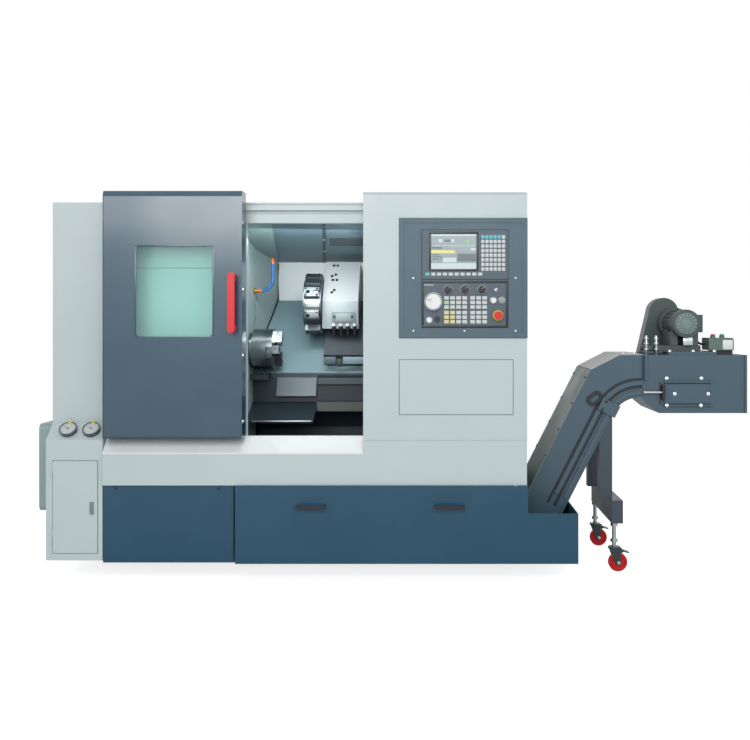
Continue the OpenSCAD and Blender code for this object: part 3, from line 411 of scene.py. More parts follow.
class Paintbox:
    """All finishes of the machine, by plain name."""

    # Name, kind, colour, roughness, wear's colour and share, dust, bump, worn edge in mm, tone, grain
    FINISHES = (
        Finish("pale_paint", Kind.PAINT, "C1CFD0", (0.32, 0.46), "E4E9E8", 0.25, 0.05, 0.03, 2.0, 0.03),
        Finish("wall_paint", Kind.PAINT, "96AEB0", (0.35, 0.5), "D5DBD9", 0.2, 0.06, 0.03, 1.5, 0.05),
        Finish("slate_paint", Kind.PAINT, "144358", (0.28, 0.42), "8F9AA3", 0.3, 0.05, 0.05, 2.0, 0.06,
               coat=0.8),
        Finish("navy_paint", Kind.PAINT, "164861", (0.3, 0.45), "7F92A0", 0.3, 0.08, 0.05, 2.0, 0.07),
        Finish("dark_casting", Kind.PAINT, "39434B", (0.45, 0.65), "7B868C", 0.35, 0.1, 0.12, 2.0, 0.12,
               500.0),
        Finish("roof_paint", Kind.PAINT, "6B8793", (0.35, 0.55), "8E999D", 0.25, 0.08, 0.05, 1.5, 0.08),
        Finish("guard_paint", Kind.PAINT, "1A2932", (0.35, 0.55), "5A656B", 0.25, 0.02, 0.06, 1.5, 0.1),
        Finish("white_paint", Kind.PAINT, "C2CBCE", (0.25, 0.4), "FFFFFF", 0.2, 0.05, 0.03, 2.0, 0.02),
        Finish("splash_white", Kind.PAINT, "E2EAED", (0.3, 0.45), "FFFFFF", 0.2, 0.04, 0.03, 2.0, 0.02),
        Finish("way_cover", Kind.PAINT, "78939B", (0.38, 0.46), "C3CDD0", 0.3, 0.04, 0.03, 1.5, 0.1),
        Finish("sill_steel", Kind.PAINT, "E2E8E8", (0.2, 0.34), "FFFFFF", 0.25, 0.02, 0.05, 1.5, 0.06),
        Finish("stainless", Kind.METAL, "D9DDDD", (0.16, 0.34), "FFFFFF", 0.3, 0.02, 0.06, 1.5, 0.08),
        Finish("zinc_steel", Kind.METAL, "B4BBBC", (0.25, 0.42), "E2E6E6", 0.3, 0.04, 0.05, 0.8, 0.1),
        Finish("tool_steel", Kind.METAL, "8F979B", (0.2, 0.38), "DDE2E3", 0.4, 0.02, 0.06, 1.0, 0.12),
        Finish("turret_steel", Kind.METAL, "656E73", (0.3, 0.46), "AEB6B9", 0.35, 0.03, 0.06, 1.0, 0.12),
        Finish("fork_steel", Kind.METAL, "465254", (0.3, 0.46), "9AA4A6", 0.35, 0.03, 0.06, 1.0, 0.12),
        # Colours a seam strip on the roof and a band of painted shade on the roof.
        Finish("roof_seam_and_shade_paint", Kind.PAINT, "334853", (0.4, 0.55), "5C6E78", 0.15, 0.0, 0.05, 1.5, 0.1),
        Finish("deflector_grey", Kind.PAINT, "495A62", (0.3, 0.45), "8A979D", 0.25, 0.03, 0.05, 1.5, 0.12),
        Finish("step_grey", Kind.PAINT, "40494C", (0.3, 0.45), "7F898C", 0.25, 0.03, 0.05, 1.5, 0.12),
        # Near black for real grooves and recessed grips, and also for painted shade in gaps, in a hole and
        # along the conveyor's rails.
        Finish("dark_groove_and_shade", Kind.PAINT, "11191F", (0.45, 0.6), "303B42", 0.1, 0.0, 0.05, 1.0, 0.1),
        Finish("knee_paint", Kind.PAINT, "AEB0AC", (0.35, 0.5), "D5D7D3", 0.2, 0.05, 0.05, 1.5, 0.05),
        Finish("seam_grey", Kind.PAINT, "7C8B8D", (0.4, 0.55), "A9B3B4", 0.2, 0.0, 0.04, 0.8, 0.05),
        Finish("housing_grey", Kind.PAINT, "A3AFB4", (0.3, 0.45), "D5DCDE", 0.2, 0.02, 0.03, 2.0, 0.03),
        Finish("bed_olive", Kind.PAINT, "4C5651", (0.35, 0.5), "9B9D96", 0.25, 0.05, 0.05, 1.5, 0.08),
        Finish("panel_paint", Kind.PAINT, "48616E", (0.4, 0.55), "A4B1BC", 0.3, 0.03, 0.14, 1.5, 0.04, 600.0),
        Finish("black_plastic", Kind.PLASTIC, "1A1C1E", (0.35, 0.5), "55595C", 0.25, 0.04, 0.06, 0.8, 0.1),
        Finish("unit_plastic", Kind.PLASTIC, "4B5B67", (0.4, 0.55), "8795A0", 0.25, 0.03, 0.1, 1.0, 0.05),
        Finish("switch_plastic", Kind.PLASTIC, "5F736C", (0.35, 0.5), "97A6A0", 0.25, 0.05, 0.06, 1.0, 0.05),
        Finish("lit_yellow", Kind.PLASTIC, "DDD39A", (0.35, 0.5), "F3EDC6", 0.2, 0.0, 0.04, 0.5, 0.04),
        Finish("lit_green", Kind.PLASTIC, "A9CFA4", (0.35, 0.5), "D4EBD0", 0.2, 0.0, 0.04, 0.5, 0.04),
        Finish("key_plastic", Kind.PLASTIC, "CBD3D3", (0.4, 0.55), "F4F6F6", 0.2, 0.0, 0.05, 0.5, 0.03),
        Finish("white_plastic", Kind.PLASTIC, "ECEFEF", (0.2, 0.35), "FFFFFF", 0.2, 0.0, 0.02, 1.0, 0.02),
        Finish("grey_plastic", Kind.PLASTIC, "96A1A3", (0.25, 0.4), "C9D0D1", 0.2, 0.0, 0.02, 1.0, 0.03),
        Finish("red_plastic", Kind.PLASTIC, "D81E26", (0.2, 0.35), "F26A6E", 0.2, 0.0, 0.02, 1.2, 0.04),
        Finish("yellow_plastic", Kind.PLASTIC, "D6D22A", (0.3, 0.45), "F7E07A", 0.2, 0.0, 0.03, 0.6, 0.04),
        Finish("green_plastic", Kind.PLASTIC, "2FA45A", (0.3, 0.45), "7FD09B", 0.2, 0.0, 0.03, 0.6, 0.04),
        Finish("cyan_plastic", Kind.PLASTIC, "58C0C6", (0.3, 0.45), "A6E2E5", 0.2, 0.0, 0.03, 0.6, 0.04),
        Finish("orange_plastic", Kind.PLASTIC, "E8682A", (0.3, 0.45), "F5A57E", 0.2, 0.0, 0.03, 0.6, 0.04),
        Finish("blue_plastic", Kind.PLASTIC, "2A6CB4", (0.3, 0.45), "7CA8E2", 0.2, 0.0, 0.04, 0.8, 0.05),
        Finish("red_paint", Kind.PLASTIC, "DE1521", (0.3, 0.42), "F0505A", 0.05, 0.0, 0.02, 2.0, 0.03),
        Finish("red_tyre", Kind.RUBBER, "CE2129", (0.3, 0.45), "E8777B", 0.2, 0.06, 0.06, 1.5, 0.06),
        Finish("black_rubber", Kind.RUBBER, "151617", (0.45, 0.6), "3A3C3E", 0.2, 0.05, 0.08, 0.8, 0.1),
        Finish("conveyor_paint", Kind.PAINT, "435B69", (0.32, 0.48), "8796A0", 0.3, 0.07, 0.06, 1.8, 0.07),
        Finish("frame_paint", Kind.PAINT, "3A4854", (0.35, 0.5), "76848E", 0.3, 0.07, 0.06, 1.5, 0.08),
        Finish("cover_paint", Kind.PAINT, "778784", (0.32, 0.48), "B9C4C1", 0.25, 0.06, 0.05, 1.5, 0.07),
        Finish("motor_paint", Kind.PAINT, "3F4E4C", (0.35, 0.5), "87938F", 0.35, 0.08, 0.08, 1.2, 0.08),
        Finish("fan_paint", Kind.PAINT, "748C8A", (0.35, 0.5), "A2B0AC", 0.3, 0.06, 0.06, 1.2, 0.06),
        Finish("brass", Kind.METAL, "C29A4A", (0.22, 0.4), "E6CC8F", 0.3, 0.02, 0.05, 0.8, 0.08),
        Finish("dial_white", Kind.PLASTIC, "C8CECA", (0.4, 0.5), "FFFFFF", 0.1, 0.0, 0.02, 0.3, 0.02),
        Finish("dark_hole", Kind.PLASTIC, "0D0F10", (0.6, 0.75), "24282A", 0.1, 0.0, 0.04, 0.4, 0.1),
        Finish("tinted_glass", Kind.GLASS, "DAF7F2", (0.02, 0.06), dust=0.0, bump=0.01, tone=0.02),
        Finish("screen_dark", Kind.GLOW, "59646A", (0.15, 0.25), dust=0.0, bump=0.01, glow=0.3),
        Finish("screen_pale", Kind.GLOW, "B4C1C6", (0.15, 0.25), dust=0.0, bump=0.01, glow=0.35),
        Finish("screen_grey", Kind.GLOW, "87959A", (0.15, 0.25), dust=0.0, bump=0.01, glow=0.3),
        Finish("screen_yellow", Kind.GLOW, "CFC878", (0.15, 0.25), dust=0.0, bump=0.01, glow=0.35),
        Finish("screen_green", Kind.GLOW, "74AE7C", (0.15, 0.25), dust=0.0, bump=0.01, glow=0.35),
    )

    def __init__(self) -> None:
        """Makes the shared groups and an index of the finishes."""
        self.effects = EffectLibrary()
        self.by_name = {finish.name: finish for finish in self.FINISHES}
        self.made: dict[str, bpy.types.Material] = {}

    def get(self, name: str) -> bpy.types.Material:
        """Material of a finish, made on first use.

        Args:
            name: Plain name of the finish.

        Returns:
            Its material.
        """
        if name not in self.made:
            self.made[name] = self.by_name[name].material(self.effects)
        return self.made[name]


class Forge:
    """Collects bevelled solids, in metres, and turns them into one named piece."""

    # Edges that bend more than the first angle get a round, those past the second stay sharp in the shading
    SHARP = 0.6
    CREASE = math.radians(35)

    def __init__(self) -> None:
        """Starts with an empty mesh."""
        self.bm = bmesh.new()

    def _rounded(self, made: list, bevel: float, steps: int) -> None:
        """Rounds the sharp edges of the faces just made.

        Args:
            made: Vertices of the new solid.
            bevel: Width of the round in metres.
            steps: Segments of the round.
        """
        if bevel <= 0:
            return
        edges = {e for v in made for e in v.link_edges
                 if len(e.link_faces) == 2 and e.calc_face_angle(0.0) > self.SHARP}
        bmesh.ops.bevel(self.bm, geom=list(edges), offset=bevel, segments=steps, profile=0.5, affect="EDGES",
                        clamp_overlap=True)

    def block(self, low: Vector, high: Vector, bevel: float = 0.001, steps: int = 2,
              turn: Optional[Matrix] = None) -> "Forge":
        """Rounded block between two corners.

        Args:
            low: Lowest corner.
            high: Highest corner.
            bevel: Edge round.
            steps: Segments of the round.
            turn: Rotation about the block's centre.

        Returns:
            This forge.
        """
        size, mid = Vector(high) - Vector(low), (Vector(high) + Vector(low)) / 2
        facing = turn.to_4x4() if turn else Matrix.Identity(4)
        place = Matrix.Translation(mid) @ facing @ Matrix.Diagonal((*size, 1))
        made = bmesh.ops.create_cube(self.bm, size=1.0, matrix=place)["verts"]
        self._rounded(made, min(bevel, min(size) * 0.45), steps)
        return self

    def rod(self, start: Vector, end: Vector, radius: float, sides: int = 24, bevel: float = 0.0008,
            tip: Optional[float] = None) -> "Forge":
        """Round bar between two points.

        Args:
            start: Centre of one end.
            end: Centre of the other end.
            radius: Radius at the start.
            sides: Number of sides, 6 for a hexagon head.
            bevel: Round of the end edges.
            tip: Radius at the end, if it tapers.

        Returns:
            This forge.
        """
        axis = Vector(end) - Vector(start)
        facing = axis.to_track_quat("Z", "Y").to_matrix().to_4x4()
        place = Matrix.Translation((Vector(start) + Vector(end)) / 2) @ facing
        far = radius if tip is None else tip
        made = bmesh.ops.create_cone(self.bm, cap_ends=True, segments=sides, radius1=radius, radius2=far,
                                     depth=axis.length, matrix=place)["verts"]
        self._rounded(made, min(bevel, axis.length * 0.45, radius * 0.4), 2)
        return self

    def ring(self, centre: Vector, axis: Vector, radius: float, tube: float, around: int = 36,
             sides: int = 10) -> "Forge":
        """Torus about an axis.

        Args:
            centre: Middle of the ring.
            axis: Direction that the ring goes round.
            radius: Radius to the middle of the tube.
            tube: Radius of the tube.
            around: Steps around the ring.
            sides: Sides of the tube.

        Returns:
            This forge.
        """
        turn = Vector(axis).to_track_quat("Z", "Y").to_matrix()
        rows = []
        for i in range(around):
            a = 2 * math.pi * i / around
            row = []
            for j in range(sides):
                b = 2 * math.pi * j / sides
                reach = radius + tube * math.cos(b)
                local = Vector((reach * math.cos(a), reach * math.sin(a), tube * math.sin(b)))
                row.append(self.bm.verts.new(Vector(centre) + turn @ local))
            rows.append(row)
        for i in range(around):
            for j in range(sides):
                near, far = rows[i], rows[(i + 1) % around]
                k = (j + 1) % sides
                self.bm.faces.new((near[j], far[j], far[k], near[k]))
        return self

    def tube(self, points: Sequence[Vector], radius: Callable[[float], float], sides: int = 14) -> "Forge":
        """Sweeps a round section along points.

        Args:
            points: Centre line.
            radius: Radius for a share of the way from 0 to 1.
            sides: Sides of the section.

        Returns:
            This forge.
        """
        rings = []
        for i, here in enumerate(points):
            ahead = points[min(i + 1, len(points) - 1)] - points[max(i - 1, 0)]
            turn = ahead.to_track_quat("Z", "Y").to_matrix()
            r = radius(i / (len(points) - 1))
            rings.append([self.bm.verts.new(here + turn @ Vector((r * math.cos(a), r * math.sin(a), 0)))
                          for a in (2 * math.pi * j / sides for j in range(sides))])
        for near, far in zip(rings, rings[1:]):
            for j in range(sides):
                k = (j + 1) % sides
                self.bm.faces.new((near[j], near[k], far[k], far[j]))
        self.bm.faces.new(list(reversed(rings[0])))
        self.bm.faces.new(rings[-1])
        return self

    def prism(self, corners: Sequence[Vector], thick: Vector) -> "Forge":
        """Flat plate with any outline.

        Args:
            corners: Outline of one side.
            thick: Step from that side to the other.

        Returns:
            This forge.
        """
        near = [self.bm.verts.new(c) for c in corners]
        far = [self.bm.verts.new(Vector(c) + thick) for c in corners]
        self.bm.faces.new(near)
        self.bm.faces.new(list(reversed(far)))
        for i in range(len(near)):
            k = (i + 1) % len(near)
            self.bm.faces.new((near[i], near[k], far[k], far[i]))
        return self

    def bolt(self, at: Vector, out: Vector, radius: float, height: float, sides: int = 6) -> "Forge":
        """Bolt head with a washer under it.

        Args:
            at: Point on the surface.
            out: Direction away from the surface.
            radius: Radius of the head.
            height: Height of the head.
            sides: Number of sides of the head.

        Returns:
            This forge.
        """
        way = Vector(out).normalized()
        self.rod(at, at + way * height * 0.25, radius * 1.35, 20, 0.0003)
        return self.rod(at + way * height * 0.25, at + way * height, radius, sides, height * 0.15)

    def make(self, name: str, finish: bpy.types.Material, body: str) -> bpy.types.Object:
        """Turns what was forged into a piece that rides on a body.

        Args:
            name: Name of the piece.
            finish: Its material.
            body: Body that it moves with.

        Returns:
            The new object.
        """
        bmesh.ops.recalc_face_normals(self.bm, faces=self.bm.faces)
        mesh = bpy.data.meshes.new(name)
        self.bm.to_mesh(mesh)
        self.bm.free()
        mesh.materials.append(finish)
        for poly in mesh.polygons:
            poly.use_smooth = True
        mesh.set_sharp_from_angle(angle=self.CREASE)
        piece = bpy.data.objects.new(name, mesh)
        bpy.context.scene.collection.objects.link(piece)
        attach(piece, body)
        LOG.info("piece %s on %s, %d faces", name, body, len(mesh.polygons))
        return piece


@dataclass
class SubAssembly:
    """Shared tools of every group of pieces."""

    paints: Paintbox

    def paint(self, finish: str, nodes: Iterable[str]) -> None:
        """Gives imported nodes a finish.

        Args:
            finish: Plain name of the finish.
            nodes: Names of the nodes.
        """
        for node in nodes:
            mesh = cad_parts[node].data
            mesh.materials.clear()
            mesh.materials.append(self.paints.get(finish))
            LOG.info("node %s in %s", node, finish)

    def paint_where(self, finish: str, node: str, test: Callable[[Vector], bool]) -> None:
        """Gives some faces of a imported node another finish.

        Args:
            finish: Plain name of the finish.
            node: Name of the node.
            test: Says of a face's middle, in machine millimetres, whether it is meant.
        """
        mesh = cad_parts[node].data
        mesh.materials.append(self.paints.get(finish))
        for poly in mesh.polygons:
            if test((poly.center - ORIGIN) * 1000.0):
                poly.material_index = len(mesh.materials) - 1

    def fit(self, forge: Forge, name: str, finish: str, slot: str, body: str = "machine") -> bpy.types.Object:
        """Turns what was forged into a piece with a finish.

        Args:
            forge: The forged solids.
            name: Name of the piece.
            finish: Plain name of its finish.
            slot: Material slot of the record that it belongs to; not used.
            body: Body that it moves with.

        Returns:
            The new object.
        """
        return forge.make(name, self.paints.get(finish), body)

    def outline(self, name: str, finish: str, area: Area, y: float, width: float) -> None:
        """Thin frame of seam lines round a rectangle on a front face; round a door, hatch or panel they also
        paint the shade in the gap.

        Args:
            name: Name of the piece.
            finish: Plain name of its finish.
            area: Left, right, lower and upper edge of the rectangle.
            y: Depth of the face that it lies on.
            width: Width of the lines, outside the rectangle.
        """
        x0, x1, z0, z1 = area
        forge = Forge()
        around = (x0 - width, x1 + width, z0 - width, z1 + width)
        for a, b, c, d in strips(around, (width,) * 4):
            forge.block(mm(a, y - 0.5, c), mm(b, y + 0.3, d), 0.0002, 1)
        self.fit(forge, name, finish, "pale_paint")


@dataclass
class Studio:
    """Camera, pale floor and soft light."""

    floor_size: float = 30.0
    floor_tone: tuple[float, float, float, float] = (0.86, 0.86, 0.86, 1.0)
    floor_glow: float = 0.8
    fade: tuple[float, float] = (1.9, 3.6)
    key_power: float = 198.0
    fill_power: float = 40.0
    inner_power: float = 4.2
    sheen_power: float = 110.0
    sky: float = 0.4

    def build(self) -> None:
        """Sets up everything that isn't part of the machine."""
        self._camera()
        self._floor()
        self._world()
        self._lamp("key_light", (-0.4, -6.2, 3.5), (-0.2, 0, 1.0), (5.0, 3.4), self.key_power)
        self._lamp("fill_light", (4.5, -5.5, 3.0), (0.3, 0, 0.9), (3.5, 3.0), self.fill_power)
        self._lamp("inner_light", mm(930, 130, 1660), mm(900, 440, 1000), (0.5, 0.12), self.inner_power)
        sheen = self._lamp("sheen_light", (-2.4, -6.2, 3.6), (-2.4, 0, 3.6), (3.4, 2.8), self.sheen_power)
        sheen.visible_diffuse = False
        bpy.context.scene.view_settings.view_transform = "Standard"

    @staticmethod
    def _camera() -> None:
        """Looks square at the front, shifted as the photograph is framed."""
        data = bpy.data.cameras.new("camera")
        data.sensor_width = SENSOR_MM
        data.sensor_fit = "HORIZONTAL"
        data.lens = SENSOR_MM * FOCAL_PX / IMAGE_W
        data.shift_x = (IMAGE_W / 2 - AXIS_PX[0]) / IMAGE_W
        data.shift_y = (AXIS_PX[1] - IMAGE_H / 2) / IMAGE_W
        camera = bpy.data.objects.new("camera", data)
        camera.location = mm(*EYE_MM)
        camera.rotation_euler = (math.radians(90), 0, 0)
        bpy.context.scene.collection.objects.link(camera)
        bpy.context.scene.camera = camera

    def _floor(self) -> None:
        """Pale floor that keeps the machine's shadow and fades out around it."""
        half = self.floor_size / 2
        mesh = bpy.data.meshes.new("floor")
        corners = [(-half, -half, 0), (half, -half, 0), (half, half, 0), (-half, half, 0)]
        mesh.from_pydata(corners, [], [(0, 1, 2, 3)])
        floor = bpy.data.objects.new("floor", mesh)
        bpy.context.scene.collection.objects.link(floor)
        mat = bpy.data.materials.new("floor_white")
        mat.use_nodes = True
        graph = Graph(mat.node_tree)
        shader = mat.node_tree.nodes["Principled BSDF"]
        graph.feed(shader, {"Base Color": self.floor_tone, "Roughness": 0.85, "Specular IOR Level": 0.1})
        seen = graph.add("LightPath").outputs["Is Camera Ray"]
        glow = graph.add("Emission", {"Strength": graph.math("MULTIPLY", seen, self.floor_glow)})
        lit = graph.add("AddShader", {0: shader.outputs["BSDF"], 1: glow.outputs["Emission"]})
        spot = graph.add("TexCoord").outputs["Object"]
        away = graph.add("VectorMath", {0: spot}, operation="LENGTH").outputs["Value"]
        near, far = self.fade
        fade = graph.add("MapRange", {"Value": away, "From Min": near, "From Max": far},
                         interpolation_type="SMOOTHSTEP")
        clear = graph.add("BsdfTransparent")
        blend = graph.add("MixShader", {"Fac": fade.outputs["Result"], 1: lit.outputs["Shader"],
                                        2: clear.outputs["BSDF"]})
        graph.feed(mat.node_tree.nodes["Material Output"], {"Surface": blend.outputs["Shader"]})
        mesh.materials.append(mat)

    def _world(self) -> None:
        """White surround for the camera, softer sky for the light."""
        world = bpy.data.worlds.new("studio")
        bpy.context.scene.world = world
        world.use_nodes = True
        graph = Graph(world.node_tree)
        path = graph.add("LightPath").outputs
        seen = path["Is Camera Ray"]
        for name in ("Is Glossy Ray", "Is Transmission Ray"):
            seen = graph.math("MAXIMUM", seen, path[name])
        level = graph.add("MapRange", {"Value": seen, "To Min": self.sky, "To Max": 1.0})
        sky = world.node_tree.nodes["Background"]
        graph.feed(sky, {"Color": (1, 1, 1, 1), "Strength": level.outputs["Result"]})

    @staticmethod
    def _lamp(name: str, at: Point, to: Point, size: tuple[float, float], power: float) -> bpy.types.Object:
        """Soft rectangle of light.

        Args:
            name: Name of the lamp.
            at: Where it hangs.
            to: Point that it faces.
            size: Width and height in metres.
            power: Watts.

        Returns:
            The lamp.
        """
        data = bpy.data.lights.new(name, "AREA")
        data.shape = "RECTANGLE"
        data.size, data.size_y = size
        data.energy = power
        lamp = bpy.data.objects.new(name, data)
        lamp.location = at
        lamp.rotation_euler = (Vector(to) - Vector(at)).to_track_quat("-Z", "Y").to_euler()
        bpy.context.scene.collection.objects.link(lamp)
        return lamp


@dataclass
class Enclosure(SubAssembly):
    """Sheet-metal covers, skirt, tank and gauge cabinet."""

    skirt_screws: tuple[Point, ...] = ((61, 0, 452), (545, 0, 452))
    screw_r: float = 0.0062
    ends: Point = (-270.0, 2002.0, 1810.0)
    slats: int = 9
    slat_y: float = 950.0
    slat_pitch: float = 24.0
    latch: tuple[float, float] = (-52.0, 357.0)
    seam_line: float = 4.0

    def dress(self) -> None:
        """Paints the covers and adds screws."""
        self.paint("pale_paint", ("front_apron", "left_cover", "rear_cover", "header_beam", "gauge_cabinet",
                                  "control_cabinet", "service_hatch", "gauge_door"))
        self.paint("wall_paint", ("headstock_wall", "side_box"))
        self.paint("navy_paint", ("base_left_panel", "coolant_tank"))
        self.paint("sill_steel", ("door_sill",))
        self.paint("dark_groove_and_shade", ("tank_handles",))
        self.paint("zinc_steel", ("leveling_feet",))
        self.paint("turret_steel", ("pressure_gauges",))
        self.paint("dark_casting", ("bed_casting",))
        forge = Forge()
        for place in self.skirt_screws:
            forge.bolt(mm(*place), FRONT, self.screw_r, 0.003, 20)
        self.fit(forge, "skirt_screws", "guard_paint", "zinc_steel")
        # Seam lines with the painted shade of the gap round the gauge door.
        self.outline("gauge_seam_shade", "seam_grey", (-236, -26, 145, 580), 0.0, 3.5)
        x, z = self.latch
        self.paint_where("seam_grey", "gauge_door",
                         lambda at: abs(at.x - x) < 10.5 and abs(at.z - z) < 31 and at.y < -3.4)
        pocket = Forge().block(mm(x - 5.5, -4.5, z - 23), mm(x + 5.5, -3.2, z + 23), 0.0005)
        self.fit(pocket, "latch_pocket", "seam_grey", "pale_paint", "gauge_hatch")
        # Seam lines with the painted shade of the gap round the service hatch and the control panel.
        self.outline("hatch_seam_shade", "seam_grey", (1400, 1934, 800, 1056), 0.0, 4.0)
        self.outline("panel_seam_shade", "guard_paint", (1399, 2002, 1161, 1725), 0.0, 2.0)
        self._side_panels()

    def _side_panels(self) -> None:
        """Seams, latches and louvres on the left end, the right end and the roof."""
        seams, slats, latches = Forge(), Forge(), Forge()
        left, right, top = self.ends
        for corner, across, rise, w, h, out in (((left, 300, 820), BACK, UP, 860, 760, LEFT),
                                                ((right, 720, 430), BACK, UP, 660, 1240, RIGHT),
                                                ((-120, 240, top), RIGHT, BACK, 620, 1080, UP),
                                                ((640, 240, top), RIGHT, BACK, 560, 1080, UP)):
            self._seam(seams, Vector(corner), across, rise, w, h, out)
        slat = Vector((0.004, 0.15, 0.0085))
        for x, out, z in ((left, LEFT, 1280), (right, RIGHT, 560), (right, RIGHT, 1380)):
            for i in range(self.slats):
                mid = mm(x, self.slat_y, z + self.slat_pitch * i)
                slats.block(mid - slat, mid + slat, 0.0015, 2, Matrix.Rotation(-0.35 * out.x, 3, "Y"))
        key = Vector((0.003, 0.003, 0.012))
        for x, out, y, z in ((left, LEFT, 340, 1000), (left, LEFT, 340, 1400), (right, RIGHT, 760, 800),
                             (right, RIGHT, 760, 1300)):
            at = mm(x, y, z)
            latches.rod(at, at + out * 0.006, 0.017, 32, 0.0015)
            latches.block(at + out * 0.006 - key, at + out * 0.006 + key, 0.001)
        self.fit(seams, "cover_seams", "seam_grey", "pale_paint")
        self.fit(slats, "louvres", "pale_paint", "pale_paint")
        self.fit(latches, "cover_latches", "black_plastic", "black_plastic")

    def _seam(self, forge: Forge, corner: Vector, across: Vector, rise: Vector, w: float, h: float,
              out: Vector) -> None:
        """Four thin lines round the edge of a cover.

        Args:
            forge: Where they go.
            corner: Lowest corner in machine millimetres.
            across: Direction of its width.
            rise: Direction of its height.
            w: Width.
            h: Height.
            out: Direction away from the face.
        """
        for a, b, c, d in strips((0, w, 0, h), (self.seam_line,) * 4):
            spots = [corner + across * u + rise * v - out * 0.2 for u, v in ((a, c), (b, c), (b, d), (a, d))]
            forge.prism([mm(*p) for p in spots], out * 0.0008)


@dataclass
class Gauges(SubAssembly):
    """Dial faces, needles and vent plugs of the two pressure gauges."""

    xs: tuple[float, float] = (-176.0, -66.0)
    y: float = 40.0
    z: float = 714.5
    tilt: float = math.atan2(71.0, 80.0)
    dial_r: float = 0.0352
    face_lift: float = 0.0212
    ticks: int = 28

    def dress(self) -> None:
        """Builds both dials."""
        out = Vector((0, -math.sin(self.tilt), math.cos(self.tilt)))
        up = Vector((0, math.cos(self.tilt), math.sin(self.tilt)))
        faces, marks, tabs = Forge(), Forge(), Forge()
        for x in self.xs:
            hub = mm(x, self.y, self.z) + out * self.face_lift
            faces.rod(hub - out * 0.0001, hub + out * 0.0006, self.dial_r, 48, 0)
            self._scale(marks, hub + out * 0.0007, out, up)
            tip = hub + up * (self.dial_r + 0.004)
            tabs.rod(tip - out * 0.004, tip + out * 0.004, 0.008, 20, 0.001)
        self.fit(faces, "gauge_dials", "dial_white", "zinc_steel")
        self.fit(marks, "gauge_marks", "dark_hole", "zinc_steel")
        self.fit(tabs, "gauge_vents", "yellow_plastic", "zinc_steel")

    def _scale(self, forge: Forge, hub: Vector, out: Vector, up: Vector) -> None:
        """Tick marks and needle of one dial.

        Args:
            forge: Where the marks go.
            hub: Centre of the dial's face.
            out: Direction away from the face.
            up: Direction of the dial's twelve o'clock.
        """
        side, lift, rim = up.cross(out), out * 0.001, self.dial_r - 0.003
        for i in range(self.ticks + 1):
            angle = math.radians(225 - 270 * i / self.ticks)
            way = side * math.cos(angle) + up * math.sin(angle)
            long = 0.007 if i % 4 == 0 else 0.004
            forge.rod(hub + way * (rim - long), hub + way * rim, 0.0004, 4, 0)
        needle = side * math.cos(math.radians(150)) + up * math.sin(math.radians(150))
        forge.rod(hub - needle * 0.007 + lift, hub + needle * 0.026 + lift, 0.0012, 8, 0, 0.0004)
        forge.rod(hub, hub + out * 0.002, 0.0035, 20, 0.0003)


@dataclass
class SlidingDoor(SubAssembly):
    """Door finishes, the window's gasket and the edge screws."""

    edge_screw_z: tuple[float, ...] = (1699.0, 1387.0, 1078.0, 769.0)
    window: Area = (161.0, 533.0, 1161.0, 1595.0)
    front_y: float = -40.0
    right_x: float = 664.0
    edge_y: float = -26.0
    gasket: float = 7.0
    corner: float = 16.0

    def dress(self) -> None:
        """Paints the door and adds its small pieces."""
        self.paint("slate_paint", ("door_panel",))
        self.paint("tinted_glass", ("door_window",))
        self.paint("red_paint", ("door_handle",))
        x0, x1, z0, z1 = self.window
        rim = Forge()
        for a, b, c, d in strips(self.window, (self.gasket,) * 4):
            rim.block(mm(a, self.front_y - 1.5, c), mm(b, self.front_y + 3, d), 0.0012)
        turns = [math.radians(15 * i) for i in range(7)]
        spots = [(0.0, 0.0)] + [(self.gasket + self.corner * (1 - math.sin(a)),
                                 self.gasket + self.corner * (1 - math.cos(a))) for a in turns]
        for cx, cz, fx, fz in ((x0, z0, 1, 1), (x1, z0, -1, 1), (x0, z1, 1, -1), (x1, z1, -1, -1)):
            rim.prism([mm(cx + fx * u, self.front_y + 2.9, cz + fz * v) for u, v in spots], FRONT * 0.0043)
        self.fit(rim, "window_gasket", "slate_paint", "slate_paint", "door")
        # Painted shade: dark strips along the door's bottom and left edges.
        edge = Forge().block(mm(14, self.front_y - 0.5, 691), mm(662, self.front_y + 0.4, 697), 0.0002, 1)
        edge.block(mm(13, self.front_y - 0.5, 697), mm(16, self.front_y + 0.4, 1836), 0.0002, 1)
        self.fit(edge, "door_edge", "guard_paint", "slate_paint", "door")
        line = Forge().block(mm(x0 + self.gasket, -37.6, 1486), mm(x1 - self.gasket, -36.9, 1490), 0.0002, 1)
        self.fit(line, "window_seam", "seam_grey", "tinted_glass", "door")
        screws = Forge()
        for z in self.edge_screw_z:
            screws.bolt(mm(self.right_x, self.edge_y, z), RIGHT, 0.0075, 0.005, 20)
        self.fit(screws, "door_edge_screws", "stainless", "slate_paint", "door")


